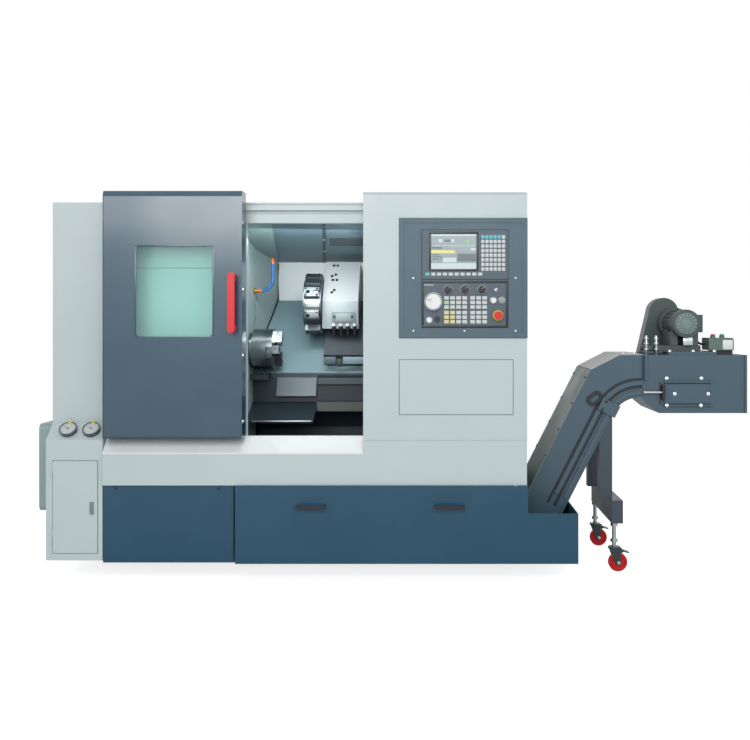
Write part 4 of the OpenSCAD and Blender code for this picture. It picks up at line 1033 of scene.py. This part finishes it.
@dataclass
class ControlStation(SubAssembly):
    """Screen, keys and operating elements on the control panel."""

    face_y: float = -12.0
    unit_y: float = -14.0
    screen: Area = (1548.0, 1762.0, 1484.5, 1649.5)
    board: Area = (1506.5, 1909.5, 1211.5, 1428.5)
    estop: tuple[float, float] = (1863.5, 1266.0)
    wheel: Point = (1559.0, 1332.0, 42.0)
    knob_xs: tuple[float, ...] = (1628.0, 1708.0, 1788.0)
    knob_z: float = 1388.5
    knob_turn: float = 35.0
    toggle: tuple[float, float] = (1854.0, 1386.0)
    plate_screws: tuple[tuple[float, float], ...] = ((1465, 1442), (1947, 1442), (1465, 1193), (1706, 1193),
                                                     (1947, 1193))

    def dress(self) -> None:
        """Paints the panel and builds its face."""
        self.paint("panel_paint", ("control_panel",))
        self.paint("unit_plastic", ("display_unit",))
        self.outline("unit_seam", "dark_groove_and_shade", (1506.5, 1909.5, 1211.5, 1668.0), -8.0, 3.0)
        self.paint("black_plastic", ("knob_1", "knob_2", "knob_3", "key_switch"))
        self.paint("white_plastic", ("handwheel", "start_button", "power_button"))
        self.paint("grey_plastic", ("stop_button",))
        self.paint("red_plastic", ("emergency_stop",))
        self._keys()
        self._screen()
        self._board()
        self._knobs()

    def _keys(self) -> None:
        """Colours single keys of the key node by their place."""
        self.paint("key_plastic", ("panel_keys",))
        self.paint_where("cyan_plastic", "panel_keys",
                         lambda at: 1780 < at.x < 1880 and at.z > 1625 or at.x < 1550 and 1440 < at.z < 1480)
        self.paint_where("lit_yellow", "panel_keys", lambda at: at.x < 1665 and at.z < 1290)
        self.paint_where("lit_green", "panel_keys", lambda at: at.x < 1640 and 1318 < at.z < 1340)

    @staticmethod
    def _plate(forge: Forge, x0: float, x1: float, z0: float, z1: float, y: float, t: float = 0.8) -> None:
        """Thin field of colour on a face.

        Args:
            forge: Where it goes.
            x0: Left edge.
            x1: Right edge.
            z0: Lower edge.
            z1: Upper edge.
            y: Depth of its front.
            t: Thickness towards the back.
        """
        forge.block(mm(x0, y, z0), mm(x1, y + t, z1), 0.0002, 1)

    def _screen(self) -> None:
        """Bezel and a plain user interface of bars and fields."""
        x0, x1, z0, z1 = self.screen
        w, h = x1 - x0, z1 - z0
        bezel = Forge()
        for a, b, c, d in strips((x0 - 9, x1 + 9, z0 - 9, z1 + 11), (9, 9, 9, 11)):
            bezel.block(mm(a, self.unit_y - 3, c), mm(b, self.unit_y + 1, d), 0.001)
        self.fit(bezel, "screen_bezel", "black_plastic", "black_plastic")
        floor = self.unit_y + 1.2
        fields = {
            "screen_grey": ((0, 1, 0, 1, 0),),
            "screen_pale": ((0, 1, 0.94, 1, 1), (0, 1, 0, 0.17, 1), (0.26, 0.56, 0.19, 0.33, 1),
                            (0.17, 0.25, 0.76, 0.86, 1), (0.45, 0.51, 0.76, 0.86, 1),
                            (0.02, 0.98, 0.655, 0.675, 1), (0.88, 0.99, 0.53, 0.60, 1)),
            "screen_yellow": ((0, 0.53, 0.45, 0.54, 1),),
            "screen_green": ((0.77, 0.84, 0.71, 0.84, 1),),
            "screen_dark": ((0.58, 0.985, 0.22, 0.44, 1), (0.3, 0.42, 0.78, 0.84, 1),
                            (0.02, 0.24, 0.58, 0.63, 1)),
        }
        for name, marks in fields.items():
            forge = Forge()
            for a, b, c, d, layer in marks:
                self._plate(forge, x0 + a * w, x0 + b * w, z0 + c * h, z0 + d * h, floor - 0.4 * layer, 0.5)
            if name == "screen_dark":
                for row in range(4):
                    z, end = z0 + h * (0.40 - 0.045 * row), 0.18 + 0.05 * (row % 3)
                    self._plate(forge, x0 + 0.03 * w, x0 + end * w, z, z + 0.018 * h, floor - 0.4, 0.5)
            self.fit(forge, f"display_{name}", name, "black_plastic")

    def _board(self) -> None:
        """Border of the operator board, ring and legends round the controls."""
        border = Forge()
        for a, b, c, d in strips(self.board, (7, 9, 7, 9)):
            border.block(mm(a, self.face_y - 3, c), mm(b, self.face_y + 1, d), 0.001)
        self.fit(border, "board_border", "black_plastic", "black_plastic")
        ex, ez = self.estop
        ring = Forge().ring(mm(ex, self.face_y - 3, ez), FRONT, 0.0215, 0.0035, 48, 10)
        self.fit(ring, "stop_ring", "yellow_plastic", "red_plastic")
        collars = Forge()
        for x, z in ((1842, 1337), (1882, 1337), (1540, 1244)):
            collars.ring(mm(x, self.face_y - 2, z), FRONT, 0.0145, 0.0022, 36, 8)
        for x in self.knob_xs:
            collars.ring(mm(x, self.face_y - 1, self.knob_z), FRONT, 0.0195, 0.0012, 36, 8)
        self.fit(collars, "control_collars", "zinc_steel", "zinc_steel")
        legends = Forge()
        for x in self.knob_xs:
            for i in range(11):
                a = math.radians(-135 + 27 * i)
                at = mm(x + 25 * math.sin(a), self.face_y - 0.6, self.knob_z + 25 * math.cos(a))
                legends.rod(at, at + BACK * 0.0007, 0.0011, 8, 0)
        self._plate(legends, 1515, 1560, 1408, 1412, self.face_y - 0.3)
        for a in range(0, 360, 15):
            way = math.radians(a)
            wx, wz, r = self.wheel
            at = mm(wx + (r + 5) * math.sin(way), self.face_y - 0.6, wz + (r + 5) * math.cos(way))
            legends.rod(at, at + BACK * 0.0007, 0.0008, 8, 0)
        self.fit(legends, "board_marks", "key_plastic", "key_plastic")
        x, z = self.toggle
        toggle = Forge().rod(mm(x, self.face_y, z), mm(x, self.face_y - 5, z), 0.008, 6, 0.0006)
        toggle.rod(mm(x, self.face_y - 4, z), mm(x + 2, self.face_y - 20, z + 6), 0.003, 14, 0.001, 0.0045)
        self.fit(toggle, "protect_switch", "zinc_steel", "zinc_steel")
        screws = Forge()
        for x, z in self.plate_screws:
            screws.bolt(mm(x, -8.0, z), FRONT, 0.0034, 0.002, 20)
        self.fit(screws, "panel_screws", "zinc_steel", "zinc_steel")

    def _knobs(self) -> None:
        """Pointers of the selectors and the marks of the pulse wheel."""
        way = math.radians(self.knob_turn)
        along = Vector((math.sin(way), 0, math.cos(way)))
        for i, x in enumerate(self.knob_xs, 1):
            low = mm(x - 4, self.face_y - 33, self.knob_z - 15)
            high = mm(x + 4, self.face_y - 21, self.knob_z + 15)
            grip = Forge().block(low, high, 0.002, 3, Matrix.Rotation(way, 3, "Y"))
            self.fit(grip, f"selector_grip_{i}", "black_plastic", "black_plastic", f"selector_{i}")
            hub = mm(x, self.face_y - 33.3, self.knob_z)
            mark = Forge().rod(hub + along * 0.004, hub + along * 0.014, 0.0011, 8, 0)
            self.fit(mark, f"selector_mark_{i}", "key_plastic", "key_plastic", f"selector_{i}")
        wx, wz, r = self.wheel
        rim = Forge().ring(mm(wx, self.face_y - 24, wz), FRONT, (r - 4) / 1000, 0.0028, 60, 10)
        self.fit(rim, "pulse_rim", "grey_plastic", "white_plastic", "pulse_wheel")


@dataclass
class WorkArea(SubAssembly):
    """Chuck, turret, splash walls and coolant pipe."""

    wall_x: float = 605.0
    hose_y: float = 560.0
    hose_z: float = 1400.0
    turret: Point = (870.0, 650.0, 1332.0)
    stations: int = 8
    housing_x: float = 970.0
    slope_bolts: tuple[tuple[float, float], ...] = ((46, 0.2), (58, 0.26), (46, 0.52), (68, 0.52), (40, 0.62),
                                                    (60, 0.66), (46, 0.9), (66, 0.9))
    spindle: tuple[float, float] = (480.0, 1093.0)
    chuck_face: float = 730.0
    roof_front: Point = (605.0, 121.0, 1711.0)
    roof_back: Point = (672.0, 929.0, 1575.0)

    def dress(self) -> None:
        """Paints the inner pieces and builds their small parts."""
        self.paint("roof_paint", ("inner_roof",))
        self.paint("guard_paint", ("chip_guard",))
        self.paint("white_paint", ("turret_housing",))
        self.paint("splash_white", ("back_splash",))
        self.paint("way_cover", ("slant_cover",))
        self.paint("dark_casting", ("headstock", "carriage"))
        self.paint("tool_steel", ("spindle", "chuck_body", "jaw_1", "jaw_2", "jaw_3"))
        self.paint("turret_steel", ("turret_disc",))
        self._hose()
        self._wall_bolts()
        self._guard_faces()
        self._saddle()
        self._turret_fittings()
        self._housing_fittings()
        self._chuck_fittings()

    def _saddle(self) -> None:
        """Wiper plates and the stop block on the saddle's front edge, below the cross slide's path."""
        plates = (("wiper", "way_cover", 1082, 1298, 520, 1012, 1050),
                  ("plate", "deflector_grey", 983, 1046, 521, 1012, 1050),
                  ("stop", "guard_paint", 1048, 1080, 512, 1000, 1040))
        for name, finish, left, right, y, low, high in plates:
            forge = Forge().block(mm(left, y, low), mm(right, y + 6, high), 0.001)
            self.fit(forge, f"saddle_{name}", finish, "dark_casting", "saddle")

    def _guard_faces(self) -> None:
        """Sheets of other tones on the deflector and the steps, and a bright zinc lip that paints the
        highlight along the chip slide's edge.
        """
        sheets = {
            "deflector_grey": ((733, 534, 940), (943, 534, 940), (943, 504, 844), (733, 504, 844)),
            "step_grey": ((951, 505, 906), (1978, 505, 906), (1978, 505, 939), (951, 505, 939)),
            "bed_olive": ((951, 483, 766), (1978, 483, 766), (1978, 483, 814), (951, 483, 814)),
        }
        for name, corners in sheets.items():
            sheet = Forge().prism([mm(x, y - 0.2, z) for x, y, z in corners], FRONT * 0.0012)
            self.fit(sheet, f"guard_{name}", name, "dark_casting")
        # Painted highlight: a bright zinc rod along the chip slide's edge.
        lip = Forge().rod(mm(640, 323, 731), mm(940, 323, 731), 0.004, 12)
        self.fit(lip, "slide_lip", "zinc_steel", "dark_casting")

    def _hose(self) -> None:
        """Jointed coolant pipe of ball segments, with its valve and nozzle."""
        bend, rise, waves = 60.0, 90.0, 15
        start = self.wall_x + 40
        root = mm(self.wall_x, self.hose_y, self.hose_z)
        route = [mm(start + bend * math.sin(a), self.hose_y, self.hose_z + bend * (1 - math.cos(a)))
                 for a in (math.radians(9 * i) for i in range(11))]
        route += [mm(start + bend, self.hose_y, self.hose_z + bend + rise * i / 9) for i in range(1, 10)]
        fine = [p.lerp(q, k / 4) for p, q in zip(route, route[1:]) for k in range(4)] + [route[-1]]
        pipe = Forge().tube(fine, lambda s: 0.0082 + 0.0016 * abs(math.sin(math.pi * waves * s)), 18)
        hose = self.fit(pipe, "coolant_pipe", "blue_plastic", "blue_hose")
        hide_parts("coolant_hose")
        valve = Forge().rod(root, root + RIGHT * 0.010, 0.016, 6)
        valve.rod(root + RIGHT * 0.010, root + RIGHT * 0.024, 0.011)
        self.fit(valve, "coolant_valve", "brass", "blue_hose")
        ends = Forge().rod(root + RIGHT * 0.022, root + RIGHT * 0.042, 0.0105)
        tip = mm(start + bend, self.hose_y, self.hose_z + bend + rise)
        ends.rod(tip + DOWN * 0.002, tip + UP * 0.026, 0.0105, 24, 0.0008, 0.005)
        self.fit(ends, "coolant_ends", "orange_plastic", "blue_hose")

    def _roof_z(self, y: float) -> float:
        """Height of the ceiling's underside at a depth in millimetres."""
        (_, y0, z0), (_, y1, z1) = self.roof_front, self.roof_back
        return z0 + (z1 - z0) * (y - y0) / (y1 - y0)

    def _wall_bolts(self) -> None:
        """Screws, seams, the pale corner sheet of the splash walls and a band of painted shade on the roof.
        """
        bolts = Forge()
        for z in (760, 980, 1260, 1480, 1640):
            bolts.bolt(mm(self.wall_x, 600, z), RIGHT, 0.006, 0.004, 20)
        for y in (160, 410, 650, 890):
            x = 1029 - (y - 121) * 91 / 808
            bolts.bolt(mm(x, y, self._roof_z(y) - 2), DOWN, 0.006, 0.004, 20)
        self.fit(bolts, "wall_screws", "zinc_steel", "zinc_steel")
        down = DOWN * 0.0018
        (x0, y0, _), (x1, y1, _) = self.roof_front, self.roof_back
        edge = ((x0 + 1, y0), (774, y0), (x1 + 4, y1 - 1), (x1 - 2, y1 - 1), (x0 + 1, 616))
        corner = Forge().prism([mm(x, y, self._roof_z(y) - 0.2) for x, y in edge], down)
        self.fit(corner, "roof_corner", "wall_paint", "roof_paint")
        # A strip along the roof's seam and bolts, and a wide band of painted shade on the roof.
        seams = Forge()
        for outline in (((1021, y0), (1037, y0), (946, y1 - 1), (930, y1 - 1)),
                        ((1028, y0 + 260), (1226, y0 + 260), (1226, y0 + 420), (1010, y0 + 420))):
            seams.prism([mm(x, y, self._roof_z(y) - 0.2) for x, y in outline], down)
        self.fit(seams, "roof_seam_and_shade_band", "roof_seam_and_shade_paint", "roof_paint")
        route = [mm(x1 + 3, y1 - 4, 1570), mm(x1 + 3, y1 - 4, 1363), mm(x1 - 12, 860, 1291),
                 mm(self.wall_x + 24, 720, 1151), mm(self.wall_x + 5, 624, 1056)]
        seal = Forge().tube(route, lambda _: 0.004, 8)
        self.fit(seal, "wall_seal", "black_rubber", "way_cover")

    def _turret_fittings(self) -> None:
        """Tool plates, shanks, sockets and screws of the disc."""
        x, y, z = self.turret
        hub = mm(x, y, z)
        shanks, screws, dark, plates, caps = (Forge() for _ in range(5))
        for i in range(self.stations):
            a = 2 * math.pi * i / self.stations + math.radians(22.5)
            out = Vector((0, -math.sin(a), math.cos(a)))
            side = Vector((0, math.cos(a), math.sin(a)))
            for k in (-1, 1):
                for along in (18, 78):
                    at = hub + Vector((along / 1000, 0, 0)) + out * 0.164 + side * 0.018 * k
                    screws.bolt(at, out, 0.0048, 0.005)
                at = hub + RIGHT * 0.008 + out * 0.142 + side * 0.015 * k
                screws.rod(at, at - RIGHT * 0.0012, 0.0048, 20, 0.0004)
            kind = i % 4
            if kind == 1:
                turn = a + math.pi / self.stations
                mid = hub + Vector((0.048, -0.1345 * math.sin(turn), 0.1345 * math.cos(turn)))
                half = Vector((0.041, 0.019, 0.0012))
            else:
                turn, mid = a, hub + RIGHT * 0.048 + out * 0.1645
                half = Vector((0.039, 0.0245, 0.001))
            cover = caps if kind in (0, 3) else plates
            cover.block(mid - half, mid + half, 0.0005, 2, Matrix.Rotation(turn, 3, "X"))
            if i % 2 == 0:
                root = hub + RIGHT * 0.03 + out * 0.150
                dark.rod(root, root + out * 0.016, 0.0095, 24, 0.0005)
            else:
                root = hub + RIGHT * 0.082 + out * 0.150
                shanks.block(root - Vector((0.02, 0.006, 0.006)), root + Vector((0.0, 0.006, 0.006)), 0.001)
        for i in range(12):
            a = math.radians(30 * i)
            at = hub + Vector((0, math.sin(a), math.cos(a))) * 0.095
            screws.rod(at, at - RIGHT * 0.0012, 0.0075, 24, 0.0004)
        self.fit(screws, "tool_screws", "guard_paint", "tool_steel", "turret")
        self.fit(shanks, "tool_shanks", "zinc_steel", "tool_steel", "turret")
        self.fit(caps, "tool_caps", "guard_paint", "tool_steel", "turret")
        self.fit(plates, "tool_plates", "stainless", "tool_steel", "turret")
        self.fit(dark, "tool_sockets", "dark_hole", "tool_steel", "turret")

    def _housing_fittings(self) -> None:
        """Bolts on the housing's sloped face, its bracket and the black unions below."""
        low, high = Vector((0, 560, 1350)), Vector((0, 740, 1566))
        way = (high - low).normalized()
        slope = Vector((0, -way.z, way.y))
        bolts, unions, caps = Forge(), Forge(), Forge()
        for dx, up in self.slope_bolts:
            at = low + (high - low) * up
            bolts.bolt(mm(self.housing_x + dx, at.y, at.z), slope, 0.0062, 0.005, 6)
        for dx in (66, 158):
            bolts.bolt(mm(self.housing_x + dx, 548, 1262), FRONT, 0.006, 0.006)
        self.fit(bolts, "housing_bolts", "guard_paint", "white_paint", "turret_carrier")
        for i in range(4):
            x = self.housing_x + 62 + 37 * i
            caps.rod(mm(x, 548, 1226), mm(x, 548, 1212), 0.010, 20)
            unions.rod(mm(x, 552, 1212), mm(x, 552, 1188), 0.0125, 6)
            unions.rod(mm(x, 574, 1200), mm(x, 574, 1164), 0.0105)
        self.fit(caps, "union_caps", "white_plastic", "white_paint", "turret_carrier")
        self.fit(unions, "oil_unions", "black_plastic", "white_paint", "turret_carrier")
        plates = (("housing_face", "housing_grey", 3, 188, 1203, 1347, 559),
                  ("bracket_plate", "seam_grey", 51, 175, 1233, 1289, 547),
                  ("bracket_field", "grey_plastic", 72, 154, 1242, 1280, 546))
        x = self.housing_x
        for name, finish, left, right, base, top, y in plates:
            plate = Forge().block(mm(x + left, y, base), mm(x + right, y + 1.4, top), 0.0005)
            self.fit(plate, name, finish, "white_paint", "turret_carrier")

    def _chuck_fittings(self) -> None:
        """Screws on the chuck's face and the socket in each jaw."""
        y, z = self.spindle
        screws = Forge()
        for i in range(3):
            a = math.radians(120 * i + 30)
            at = mm(self.chuck_face, y + 78 * math.sin(a), z + 78 * math.cos(a))
            screws.bolt(at, RIGHT, 0.007, 0.005)
        rim = mm(self.chuck_face - 30, y, z)
        screws.ring(rim, RIGHT, 0.1046, 0.0008, 72, 8)
        self.fit(screws, "chuck_screws", "guard_paint", "tool_steel", "spindle_unit")
        for i in range(3):
            a = math.radians(90 + 120 * i)
            out = Vector((0, -math.sin(a), math.cos(a)))
            side = Vector((0, math.cos(a), math.sin(a)))
            face = mm(self.chuck_face + 34.3, y, z)
            socket = Forge()
            for reach in (0.05, 0.078):
                at = face + out * reach
                socket.rod(at - RIGHT * 0.001, at + RIGHT * 0.0004, 0.0085, 24, 0)
            self.fit(socket, f"jaw_sockets_{i + 1}", "dark_hole", "tool_steel", f"chuck_jaw_{i + 1}")
            teeth = Forge()
            for k in range(6):
                at = face + out * (0.034 + 0.009 * k) - RIGHT * 0.032
                teeth.rod(at - side * 0.0212, at + side * 0.0212, 0.0011, 8, 0)
            self.fit(teeth, f"jaw_serrations_{i + 1}", "tool_steel", "tool_steel", f"chuck_jaw_{i + 1}")


@dataclass
class ChipConveyor(SubAssembly):
    """Conveyor casing, drive and stand."""

    front_y: float = 250.0
    motor: Point = (2834.0, 280.0, 1227.0)
    motor_r: float = 70.0
    takeup_bolts: tuple[Point, ...] = ((2726, 250, 953), (2899, 250, 953), (2764, 242, 876), (2931, 242, 876),
                                       (2723, 236, 819), (2893, 236, 819))
    incline: tuple[Point, Point] = ((2014, 250, 345), (2345, 250, 995))
    bracket: tuple[float, float] = (2434.0, 808.0)

    def dress(self) -> None:
        """Paints the conveyor and builds its small parts."""
        self.paint("conveyor_paint", ("conveyor_casing", "takeup_plate"))
        self.paint("frame_paint", ("conveyor_stand",))
        self.paint("cover_paint", ("conveyor_covers",))
        self.paint("motor_paint", ("gear_motor", "chain_guard"))
        self.paint("switch_plastic", ("switch_box",))
        self.paint("black_rubber", ("motor_cable",))
        self.paint_where("knee_paint", "conveyor_covers", lambda at: at.x > 2345 and at.z > 995)
        self.paint_where("zinc_steel", "conveyor_stand", lambda at: at.z < 239)
        self.paint_where("conveyor_paint", "gear_motor", lambda at: at.z < 1087)
        # Painted shade: a dark strip down the take-up plate's left side.
        self.paint_where("dark_groove_and_shade", "takeup_plate", lambda at: 2697 < at.x < 2711 and at.y < 249)
        self.paint_where("zinc_steel", "takeup_plate", lambda at: at.x < 2697)
        self.paint_where("black_plastic", "switch_box", lambda at: at.z < 1091)
        # Painted shade: a round patch of the casing's front face is darkened as the shade inside a hole.
        self.paint_where("dark_groove_and_shade", "conveyor_casing",
                         lambda at: at.y < 249 and (at - Vector((2366, at.y, 854))).length < 50)
        # Painted shade along the casing's rails, beside its flange and under its ribs.
        self._groove_shade()
        self._bolts()
        self._motor()
        self._switches()

    def _lift(self, d: float) -> list[Vector]:
        """Line that runs up the side plate at a distance from its lower edge and round into the head.

        Args:
            d: Distance from the edge in millimetres.

        Returns:
            Points on the side plate's face, in metres.
        """
        slope = math.radians(63)
        bend, radius = Vector((2458, 776)), 150.0
        hub = bend + radius * Vector((math.sin(slope), -math.cos(slope)))
        foot = bend - Vector((484 / math.tan(slope), 484)) + d * Vector((-math.sin(slope), math.cos(slope)))
        turns = (math.pi / 2 + slope * (1 - i / 12) for i in range(13))
        line = [foot] + [hub + (radius + d) * Vector((math.cos(a), math.sin(a))) for a in turns]
        line.append(Vector((2603, line[-1].y)))
        return [mm(p.x, self.front_y - 0.2, p.y) for p in line]

    def _groove_shade(self) -> None:
        """Painted shade: dark bands between and beside the rails, and dark strips beside the head's flange,
        under the take-up ribs and left of the take-up plate.
        """
        dark = Forge()
        # Painted shade: a band between the two rails and a broad band beside the outer rail.
        for low, high in ((46, 61), (85, 98)):
            near, far = self._lift(low), self._lift(high)
            for i in range(len(near) - 1):
                dark.prism([near[i], near[i + 1], far[i + 1], far[i]], FRONT * 0.0008)
        # Painted shade: strips beside the head's flange, under the two take-up ribs and left of the take-up
        # plate.
        for x0, x1, z0, z1, y in ((2605, 2615, 946, 1068, 238), (2712, 2940, 925, 931, 242),
                                  (2712, 2940, 824, 829, 242), (2690, 2697, 822, 934, 250)):
            dark.block(mm(x0, y - 1, z0), mm(x1, y + 0.3, z1), 0.0003, 1)
        self.fit(dark, "casing_groove_shade", "dark_groove_and_shade", "conveyor_paint")

    def _bolts(self) -> None:
        """Pale bolts of the take-up plate and dark screws of the covers."""
        pale, dark = Forge(), Forge()
        for place in self.takeup_bolts:
            pale.bolt(mm(*place), FRONT, 0.0068, 0.007)
        for x in (2745, 2862, 2968):
            pale.bolt(mm(x, self.front_y + 16, 1086), UP, 0.009, 0.009)
        for x in (2516, 2572):
            pale.bolt(mm(x, self.front_y + 40, 1074), UP, 0.007, 0.006)
        self.fit(pale, "plate_bolts", "stainless", "zinc_steel")
        low, high = (Vector(p) for p in self.incline)
        way = (high - low).normalized()
        out = Vector((-way.z, 0, way.x))
        for i in range(5):
            place = low + (high - low) * (0.14 + 0.2 * i)
            for dy in (16, 376):
                dark.bolt(mm(place.x, self.front_y + dy, place.z) + out * 0.004, out, 0.005, 0.004, 20)
        for along in (-22, 22):
            spot = Vector((self.bracket[0], 230, self.bracket[1])) + out * 26 + way * along
            dark.bolt(mm(*spot), FRONT, 0.006, 0.005)
        self.fit(dark, "cover_screws", "guard_paint", "cover_paint")

    def _motor(self) -> None:
        """Fan cover with its grille, foot bolts, tension studs, slide and block."""
        x, y, z = self.motor
        face = mm(x, y, z)
        fan, slots, bolts = Forge(), Forge(), Forge()
        radius = self.motor_r / 1000 + 0.0015
        shell = Forge().rod(face + BACK * 0.062, face + FRONT * 0.002, radius, 56, 0.014)
        self.fit(shell, "fan_shell", "motor_paint", "motor_paint")
        fan.rod(face + BACK * 0.001, face + FRONT * 0.0032, 0.054, 56, 0.0015)
        fan.ring(face + FRONT * 0.003, FRONT, 0.024, 0.002, 40, 8)
        for ring in (0.032, 0.041, 0.049):
            for i in range(16):
                a = 2 * math.pi * (i + 0.5 * (ring > 0.04)) / 16
                at = face + Vector((ring * math.sin(a), -0.0032, ring * math.cos(a)))
                slots.rod(at + BACK * 0.001, at + FRONT * 0.0006, 0.0031, 12, 0)
        self.fit(fan, "fan_cover", "fan_paint", "motor_paint")
        self.fit(slots, "fan_slots", "motor_paint", "motor_paint")
        for dx in (-52, 52):
            for dy in (60, 190):
                bolts.bolt(mm(x + dx, y + dy, 1187), UP, 0.008, 0.01)
        for sx in (2640, 2690):
            bolts.rod(mm(sx, 316, 1068), mm(sx, 316, 1166), 0.006, 16)
            for sz in (1092, 1122, 1148):
                bolts.rod(mm(sx, 316, sz), mm(sx, 316, sz + 9), 0.012, 6)
        self.fit(bolts, "motor_bolts", "zinc_steel", "zinc_steel")
        slide = Forge()
        for sy in (324, 444):
            slide.block(mm(2634, sy, 1072), mm(2728, sy + 34, 1086), 0.002)
            slide.block(mm(2640, sy + 4, 1088), mm(2680, sy + 28, 1114), 0.002)
        self.fit(slide, "motor_slide", "frame_paint", "motor_paint")
        block = Forge().block(mm(2822, 300, 1116), mm(2872, 352, 1158), 0.004)
        self.fit(block, "motor_block", "zinc_steel", "motor_paint")

    def _switches(self) -> None:
        """Caps and pale side of the switch box."""
        low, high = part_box("switch_box")
        for name, dx in (("red_plastic", 0.040), ("green_plastic", 0.086)):
            at = Vector((low[0] + dx, low[1] + 0.065, high[2]))
            cap = Forge().rod(at, at + UP * 0.007, 0.011, 28, 0.002)
            self.fit(cap, f"switch_cap_{name}", name, "switch_plastic")
        side = Forge().block(Vector((low[0] + 0.07, low[1] - 0.002, low[2] + 0.026)),
                             Vector((high[0] - 0.006, low[1] + 0.001, low[2] + 0.074)), 0.001)
        self.fit(side, "switch_face", "white_plastic", "switch_plastic")


@dataclass
class Casters(SubAssembly):
    """Wheels, forks and brake pedals under the conveyor."""

    def dress(self) -> None:
        """Paints the casters and adds wheel rims and axle nuts."""
        self.paint("fork_steel", ("front_fork", "rear_fork", "front_pedal", "rear_pedal"))
        self.paint("red_tyre", ("front_wheel", "rear_wheel"))
        for name in ("front", "rear"):
            low, high = (Vector(p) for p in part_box(f"{name}_wheel"))
            mid = (low + high) / 2
            hub, nuts = Forge(), Forge()
            for side in (-1, 1):
                face = Vector((mid.x, mid.y + side * 0.0171, mid.z))
                hub.ring(face + Vector((0, -side * 0.004, 0)), BACK, 0.030, 0.0022, 48, 8)
                end = Vector((mid.x, mid.y + side * 0.026, mid.z))
                nuts.rod(end, end + Vector((0, side * 0.007, 0)), 0.0095, 6, 0.001)
            self.fit(hub, f"{name}_wheel_rim", "red_tyre", "red_polyurethane", f"caster_{name}_wheel")
            self.fit(nuts, f"{name}_axle_nuts", "zinc_steel", "zinc_steel", f"caster_{name}")


def main() -> None:
    """Builds the studio and dresses every sub-assembly in order."""
    logging.basicConfig(level=logging.INFO, format="%(name)s: %(message)s")
    Studio().build()
    paints = Paintbox()
    for group in (Enclosure, Gauges, SlidingDoor, ControlStation, WorkArea, ChipConveyor, Casters):
        LOG.info("sub-assembly %s", group.__name__)
        group(paints).dress()


if __name__ == "__main__":
    main()
